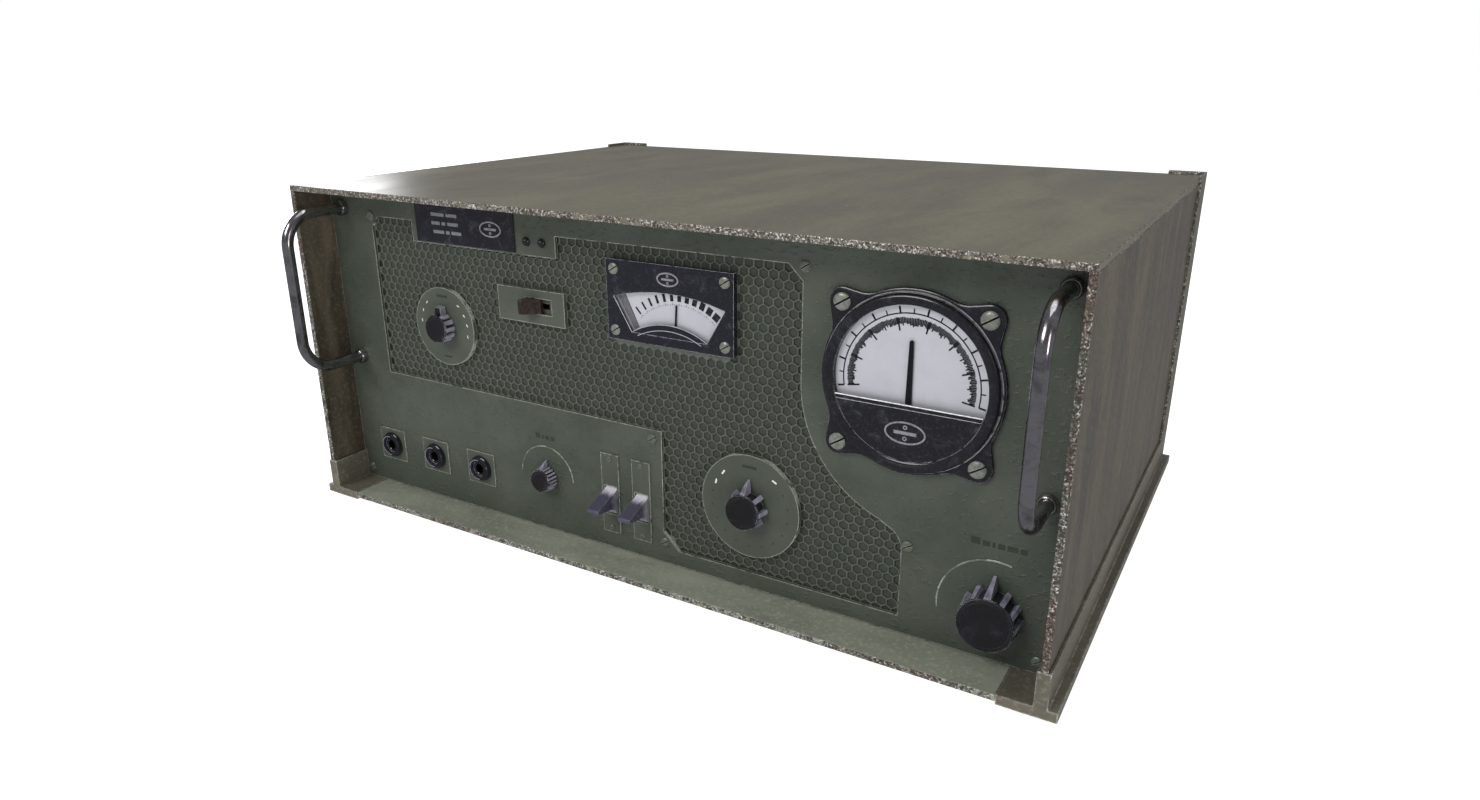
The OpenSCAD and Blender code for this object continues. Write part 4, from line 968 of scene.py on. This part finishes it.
# name, axis, radius, height, height of the back, ribs, rib width, groove depth, flare of the ribs
BARE, PLATED = 0.4, PLATE_T + 0.3
KNOBS = (("selector", SELECTOR, 9, 9, PLATED, 12, 2.5, 1.1, 0.2),
         ("fine", FINE, 7.5, 8, BARE, 20, 1.2, 0.8, 0.4),
         ("tone", TONE, 10.5, 10, PLATED, 8, 2.6, 1.5, 1.2),
         ("volume", VOLUME, 14.5, 13.5, BARE, 12, 2.6, 1.5, 1.0))
FINS = {"fine": (4, 2.6), "tone": (6, 3.0), "volume": (6.5, 3.6)}   # a pointer's reach and thickness


def make_knobs():
    # the near-white edge colour is rubbing and also a painted highlight on the rims and ribs
    looks = dict(base=(14, 14, 18), scuff=(64, 64, 76), edge=(246, 246, 250), radius=0.6, scuffs=0.5)
    for name, to_row, r, h, base, ribs, width, groove, flare in KNOBS:
        drum, grip = bmesh.new(), bmesh.new()
        knob_core(drum, to_row, r, h, base, groove)
        # the drum's side colour is a faint painted sheen on its flanks
        finish_piece(name + "_knob_drum", drum, phenolic(name + "_drum_black", side=(34, 34, 42), **looks),
                     name + "_control", replaces=(name + "_knob",), sharp=24)
        knob_ribs(grip, to_row, r, h, base, ribs, width, groove, flare)
        if name in FINS:
            reach, thick = FINS[name]
            pointer = [(r - 2.6, base, thick), (r + reach, base, thick * 0.42),
                       (r + reach - 0.5, base + 1.6, thick * 0.42), (r + 0.1, h - 0.9, thick * 0.9),
                       (r - 0.5, h - 0.5, thick), (r - 2.6, h - 0.5, thick)]
        else:
            pointer = [(r - 2, base, 5.4), (r + 4.5, base, 4.8), (r + 4.2, base + 4.4, 4.8),
                       (r - 2, base + 4.8, 5.4)]
        blade(grip, to_row, 90, pointer)
        # the ribs' pale lavender side colour is a painted sheen on their flanks
        finish_piece(name + "_knob_ribs", grip, phenolic(name + "_rib_black", side=(150, 149, 166), **looks),
                     name + "_control", bevel=0.16)


# ---------- jack sockets ----------

JACK_RING = (               # (radius, height) from the bore over the ring and the square plate, and back
    (3.3, -8), (3.3, 2.4), (3.6, 2.7), (4.3, 2.75), (4.6, 2.5), (5.2, 2.5), (5.4, 3.9), (5.8, 4.4),
    (6.9, 4.4), (7.5, 4.1), (7.9, 3.5), (7.9, 3.0), (7.5, 2.7), (7.5, 2.3), (7.9, 2.0), (7.9, PLATE_T + 1),
    (8.6, PLATE_T + 0.8), (8.6, PLATE_T), (6, PLATE_T), (5.5, -8), (3.3, -8))
JACK_WELL = ((0, -2), (3.2, -2), (3.2, 2.2), (3.28, 2.2), (3.28, -2.6), (0, -2.6))


def make_jacks():
    """Turned sockets: a ring with painted highlight arcs and a painted sheen on its sides, round a dark well.
    """
    rings, wells, highlight_strokes = bmesh.new(), bmesh.new(), bmesh.new()
    for mount in frame["record"]["mounts"]:
        if mount["name"].startswith("jack_"):
            x, _, z = mount["pos_m"]
            to_row = on_panel(x, z)
            lathe(rings, JACK_RING, to_row, 80)
            # painted highlight: a pale crescent on the ring's upper left and a thin pale arc nearer the bore
            arc_band(highlight_strokes, 6.45, 6.8, 80, 280, 4.3, 4.48, to_row)
            arc_band(highlight_strokes, 4.95, 5.15, 130, 350, 2.4, 2.6, to_row)
            lathe(wells, JACK_WELL, to_row, 40)
    # the ring's side colour is a painted sheen on the barrel
    ring_look = phenolic("jack_black", base=(13, 13, 17), side=(40, 40, 50), scuff=(28, 28, 36),
                         edge=(48, 48, 58), radius=0.3, scuffs=0.4, gloss=0.14)
    well_look = phenolic("well_black", base=(9, 9, 12), scuff=(18, 18, 22), edge=(20, 20, 24))
    finish_piece("jack_socket_rings", rings, ring_look, replaces=("jack_sockets",), sharp=28)
    highlight_look = printed_ink("jack_highlight", (150, 150, 166), (56, 56, 68))
    finish_piece("jack_socket_highlights", highlight_strokes, highlight_look)
    finish_piece("jack_socket_wells", wells, well_look)


# ---------- screws ----------

SLOT_TURN = 32              # degrees


def make_screws():
    """Domed, slotted heads over every screw of the frame, with dark bars in the slots as painted shade."""
    painted = screw_metal("panel_screw_metal", light=(112, 119, 108), dark=(72, 80, 69))
    for node, metal in (("panel_screws", painted), ("meter_screws", screw_metal("meter_screw_metal"))):
        heads, slot_shades = bmesh.new(), bmesh.new()
        for lo, hi in islands(node):
            r = (hi.x - lo.x) / 2 / MM
            h = 0.35 * r + 0.15
            half = 0.1 * r + 0.08     # half the slot's width
            mid = (lo + hi) / 2
            to_row = on_panel(mid.x, mid.z, lo.y + h * MM) @ Matrix.Rotation(math.radians(SLOT_TURN), 4, "Z")
            for flip in (1, -1):
                rows = []
                for out, size in ((0, 1.0), (h * 0.45, 1.0), (h * 0.8, 0.86), (h, 0.6)):
                    outline = disc_segment(r * size, half, r * size - 0.001, 20)
                    rows.append([(u, v * flip, out) for u, v in outline])
                skin(heads, rows, to_row)
            # painted shade: a dark bar in the bottom of each slot
            bar(slot_shades, (-r * 0.95, 0), (r * 0.95, 0), half * 2.2, 0, h * 0.3, to_row)
        finish_piece(node.replace("screws", "screw_heads"), heads, metal, replaces=(node,))
        finish_piece(node.replace("screws", "screw_slot_shades"), slot_shades,
                     printed_ink(node + "_slot_shade", (26, 28, 24), (44, 48, 40)))


# ---------- handles ----------

HANDLE_BEND = 20            # radius of the bend
BEND_STEPS = 16


def handle_path(node):
    """The rod's centre line: out of the panel, round a bend, along the grip and back."""
    lo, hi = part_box(node)
    rod = (hi.x - lo.x) / 2
    bend = HANDLE_BEND * MM
    straight = PANEL_Y - lo.y - rod - bend
    mid, half = (lo.z + hi.z) / 2, (hi.z - lo.z) / 2 - rod
    points = []
    for side in (1, -1):
        run = [(0.0, half), (straight, half)]
        for i in range(1, BEND_STEPS + 1):
            a = math.radians(90 * i / BEND_STEPS)
            run.append((straight + bend * math.sin(a), half - bend * (1 - math.cos(a))))
        points.append([Vector((lo.x + rod, PANEL_Y - out, mid + side * up)) for out, up in run])
    return points[0] + points[1][::-1], rod


def make_handles():
    for side in ("left", "right"):
        bm = bmesh.new()
        path, rod = handle_path(side + "_handle")
        tube(bm, path, rod, 40)
        finish_piece(side + "_handle_rod", bm, chrome(side + "_chrome"), sharp=60,
                     replaces=(side + "_handle",))
    dress("handle_collars", chrome("collar_chrome", base=(190, 188, 184)), 0.3)


# ---------- marks on the panel ----------

PLATE_FACE = (PLATE_T - 0.05, PLATE_T + 0.06)   # back and front of a mark on a control plate
BLANK_WORDS = (             # axis, widths of the blocks, height of their top over it, block height
    (FINE, (3.4, 1.6, 3.2, 3), 27.5, 4.2), (VOLUME, (4.6, 3.6, 1.4, 3.4, 5, 3.2), 37.5, 4.6))


def scale_marks(bm, to_row, r, angles, length, width):
    """Slanting ticks on a dial plate."""
    across = math.degrees(length / r / 2)
    for a in angles:
        bar(bm, polar(r - 0.3, a + across), polar(r + 0.3, a - across), width, *PLATE_FACE, to_row)


def panel_marks():
    """Embossed rings and ticks around the knobs, and plain bars in place of lettering."""
    # the embossed rings are the panel's paint, drawn lighter green as a painted highlight on their raised
    # faces
    raised = panel_paint("emboss_painted_highlight", light=(102, 112, 99), dark=(86, 95, 83), grain=0.2)
    rings, sunk, worn = bmesh.new(), bmesh.new(), bmesh.new()
    arc_band(rings, 20.2, 20.9, 2, 178, -0.05, 0.25, FINE, 72)
    arc_band(rings, 27.9, 28.7, 75, 190, -0.05, 0.25, VOLUME, 72)
    finish_piece("panel_rings", rings, raised, bevel=0.1)
    scale_marks(sunk, TONE, 23.8, range(29, -212, -20), 0.9, 0.7)
    for to_row, r in ((TONE, 23.5), (SELECTOR, 19.5)):
        bar(sunk, (-4.5, r), (4.5, r), 1.6, *PLATE_FACE, to_row)
    bar(sunk, (-3, -19.5), (4, -19.5), 1.2, *PLATE_FACE, SELECTOR)
    for to_row, widths, height, tall in BLANK_WORDS:
        u = -sum(widths) / 2 - 0.6 * (len(widths) - 1)
        for k, width in enumerate(widths):
            cut = tall * (0.4 if k else 0.2)     # the first block stands taller
            up = height - cut / 2
            bar(sunk, (u, up), (u + width, up), tall - cut, -0.02, 0.05, to_row)
            u += width + 1.2
    finish_piece("control_marks", sunk, printed_ink("worn_print", (46, 55, 44), (66, 75, 62)))
    scale_marks(worn, TONE, 23.8, (134, 153, 50), 3.0, 1.0)
    scale_marks(worn, SELECTOR, 19.8, (175, 154, 134, 48, 27, 9, -12), 1.8, 0.6)
    bright = printed_ink("worn_bright", (222, 224, 218), (140, 148, 134))
    finish_piece("worn_ticks", worn, bright)


def name_plate_marks():
    """Three rows of blank bars and a badge on the name plate."""
    lo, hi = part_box("name_plate")
    mid = (lo.z + hi.z) / 2
    to_row = on_panel(lo.x, mid, lo.y)
    bm = bmesh.new()
    for row, (u, widths) in enumerate(((14, (11, 9)), (14, (7, 3, 9)), (15, (9, 3, 8)))):
        up = 5.5 - 5.2 * row
        for width in widths:
            bar(bm, (u, up), (u + width, up), 2.0, -0.02, 0.1, to_row)
            u += width + 1.6
    paint = printed_ink("plate_print", (120, 120, 128), (58, 58, 66))
    finish_piece("name_plate_bars", bm, paint)
    badge("name_plate_badge", on_panel(lo.x + 62 * MM, mid, lo.y), -0.02, 8.5)


# ---------- stage, light and camera ----------

FLOOR_GAP = 0.0002          # keeps the floor just clear of the feet
FLOOR_HALF = 9


def make_stage():
    bm = bmesh.new()
    floor_z = cad_box[0].z - FLOOR_GAP
    corners = [(-1, -1), (1, -1), (1, 1), (-1, 1)]
    bm.faces.new([bm.verts.new((x * FLOOR_HALF, y * FLOOR_HALF, floor_z)) for x, y in corners])
    mesh = take_mesh("floor", bm)
    g = Graph("pale_floor")
    g.set(Base_Color=(0.8, 0.8, 0.8, 1), Roughness=1.0, Specular_IOR_Level=0.0,
          Emission_Color=(1, 1, 1, 1), Emission_Strength=0.82)
    mesh.materials.append(g.material)
    floor = add_object("floor", mesh)
    floor.visible_glossy = False


def area_light(name, place, target, size, power, colour=(1, 1, 1)):
    light = bpy.data.lights.new(name, "AREA")
    light.shape = "RECTANGLE"
    light.size, light.size_y = size
    light.energy = power
    light.color = colour
    holder = add_object(name, light)
    holder.location = place
    holder.rotation_euler = (Vector(target) - Vector(place)).to_track_quat("-Z", "Y").to_euler()


# kind of ray, colour and strength of what it sees of the world: all rays first, then the exceptions
WORLD = ((None, (0.92, 0.96, 1.0, 1), 0.3),
         ("Is Glossy Ray", (0.95, 0.96, 1.0, 1), 0.24),
         ("Is Camera Ray", (1, 1, 1, 1), 1.0))


def make_lights():
    area_light("key", (-0.7, -1.9, 1.7), (0, -0.1, 0.1), (1.2, 1.0), 34, (1.0, 0.985, 0.96))
    area_light("overhead", (0.3, 0.3, 2.2), (0, 0, 0.1), (1.6, 1.6), 16)
    area_light("glare", (-2.44, 0.87, 0.47), (-0.2, -0.1, 0.2), (1.4, 0.4), 20, (0.97, 0.98, 1.0))
    area_light("side", (2.0, -0.9, 0.5), (0.2, 0, 0.1), (0.5, 1.0), 9, (1.0, 0.93, 0.88))
    world = bpy.data.worlds.new("studio")
    bpy.context.scene.world = world
    world.use_nodes = True
    tree = world.node_tree
    tree.nodes.clear()
    rays = tree.nodes.new("ShaderNodeLightPath")
    for ray, colour, strength in WORLD:
        seen = tree.nodes.new("ShaderNodeBackground")
        seen.inputs["Color"].default_value = colour
        seen.inputs["Strength"].default_value = strength
        if ray:
            mix = tree.nodes.new("ShaderNodeMixShader")
            for number, socket in enumerate((rays.outputs[ray], result, seen.outputs[0])):
                tree.links.new(socket, mix.inputs[number])
            seen = mix
        result = seen.outputs[0]
    tree.links.new(result, tree.nodes.new("ShaderNodeOutputWorld").inputs["Surface"])
    bpy.context.scene.view_settings.view_transform = "Standard"


def make_camera():
    data = bpy.data.cameras.new("camera")
    data.sensor_width = 36
    data.lens = 23.49
    data.clip_start = 0.01
    camera = add_object("camera", data)
    camera.location = CASE_CORNER + Vector((556.83, -389.48, 286.78)) * MM
    camera.rotation_euler = (math.pi / 2 - 0.3395, 0, 0.5299)
    bpy.context.scene.camera = camera


make_camera()
make_stage()
make_lights()
dress_case()
dress_panel()
dress_controls()
dress_inside()
honeycomb_plate()
level_meter_case()
level_meter_cover()
level_scale()
badge("level_meter_badge", LEVEL @ Matrix.Translation((0, -24, 0)), 4.5, 10.5)
tuning_scale()
tuning_frame_edges()
badge("tuning_meter_badge", TUNING @ Matrix.Translation((0, 14.8, 0)), 1.8, 7)
make_knobs()
make_jacks()
make_screws()
make_handles()
panel_marks()
name_plate_marks()
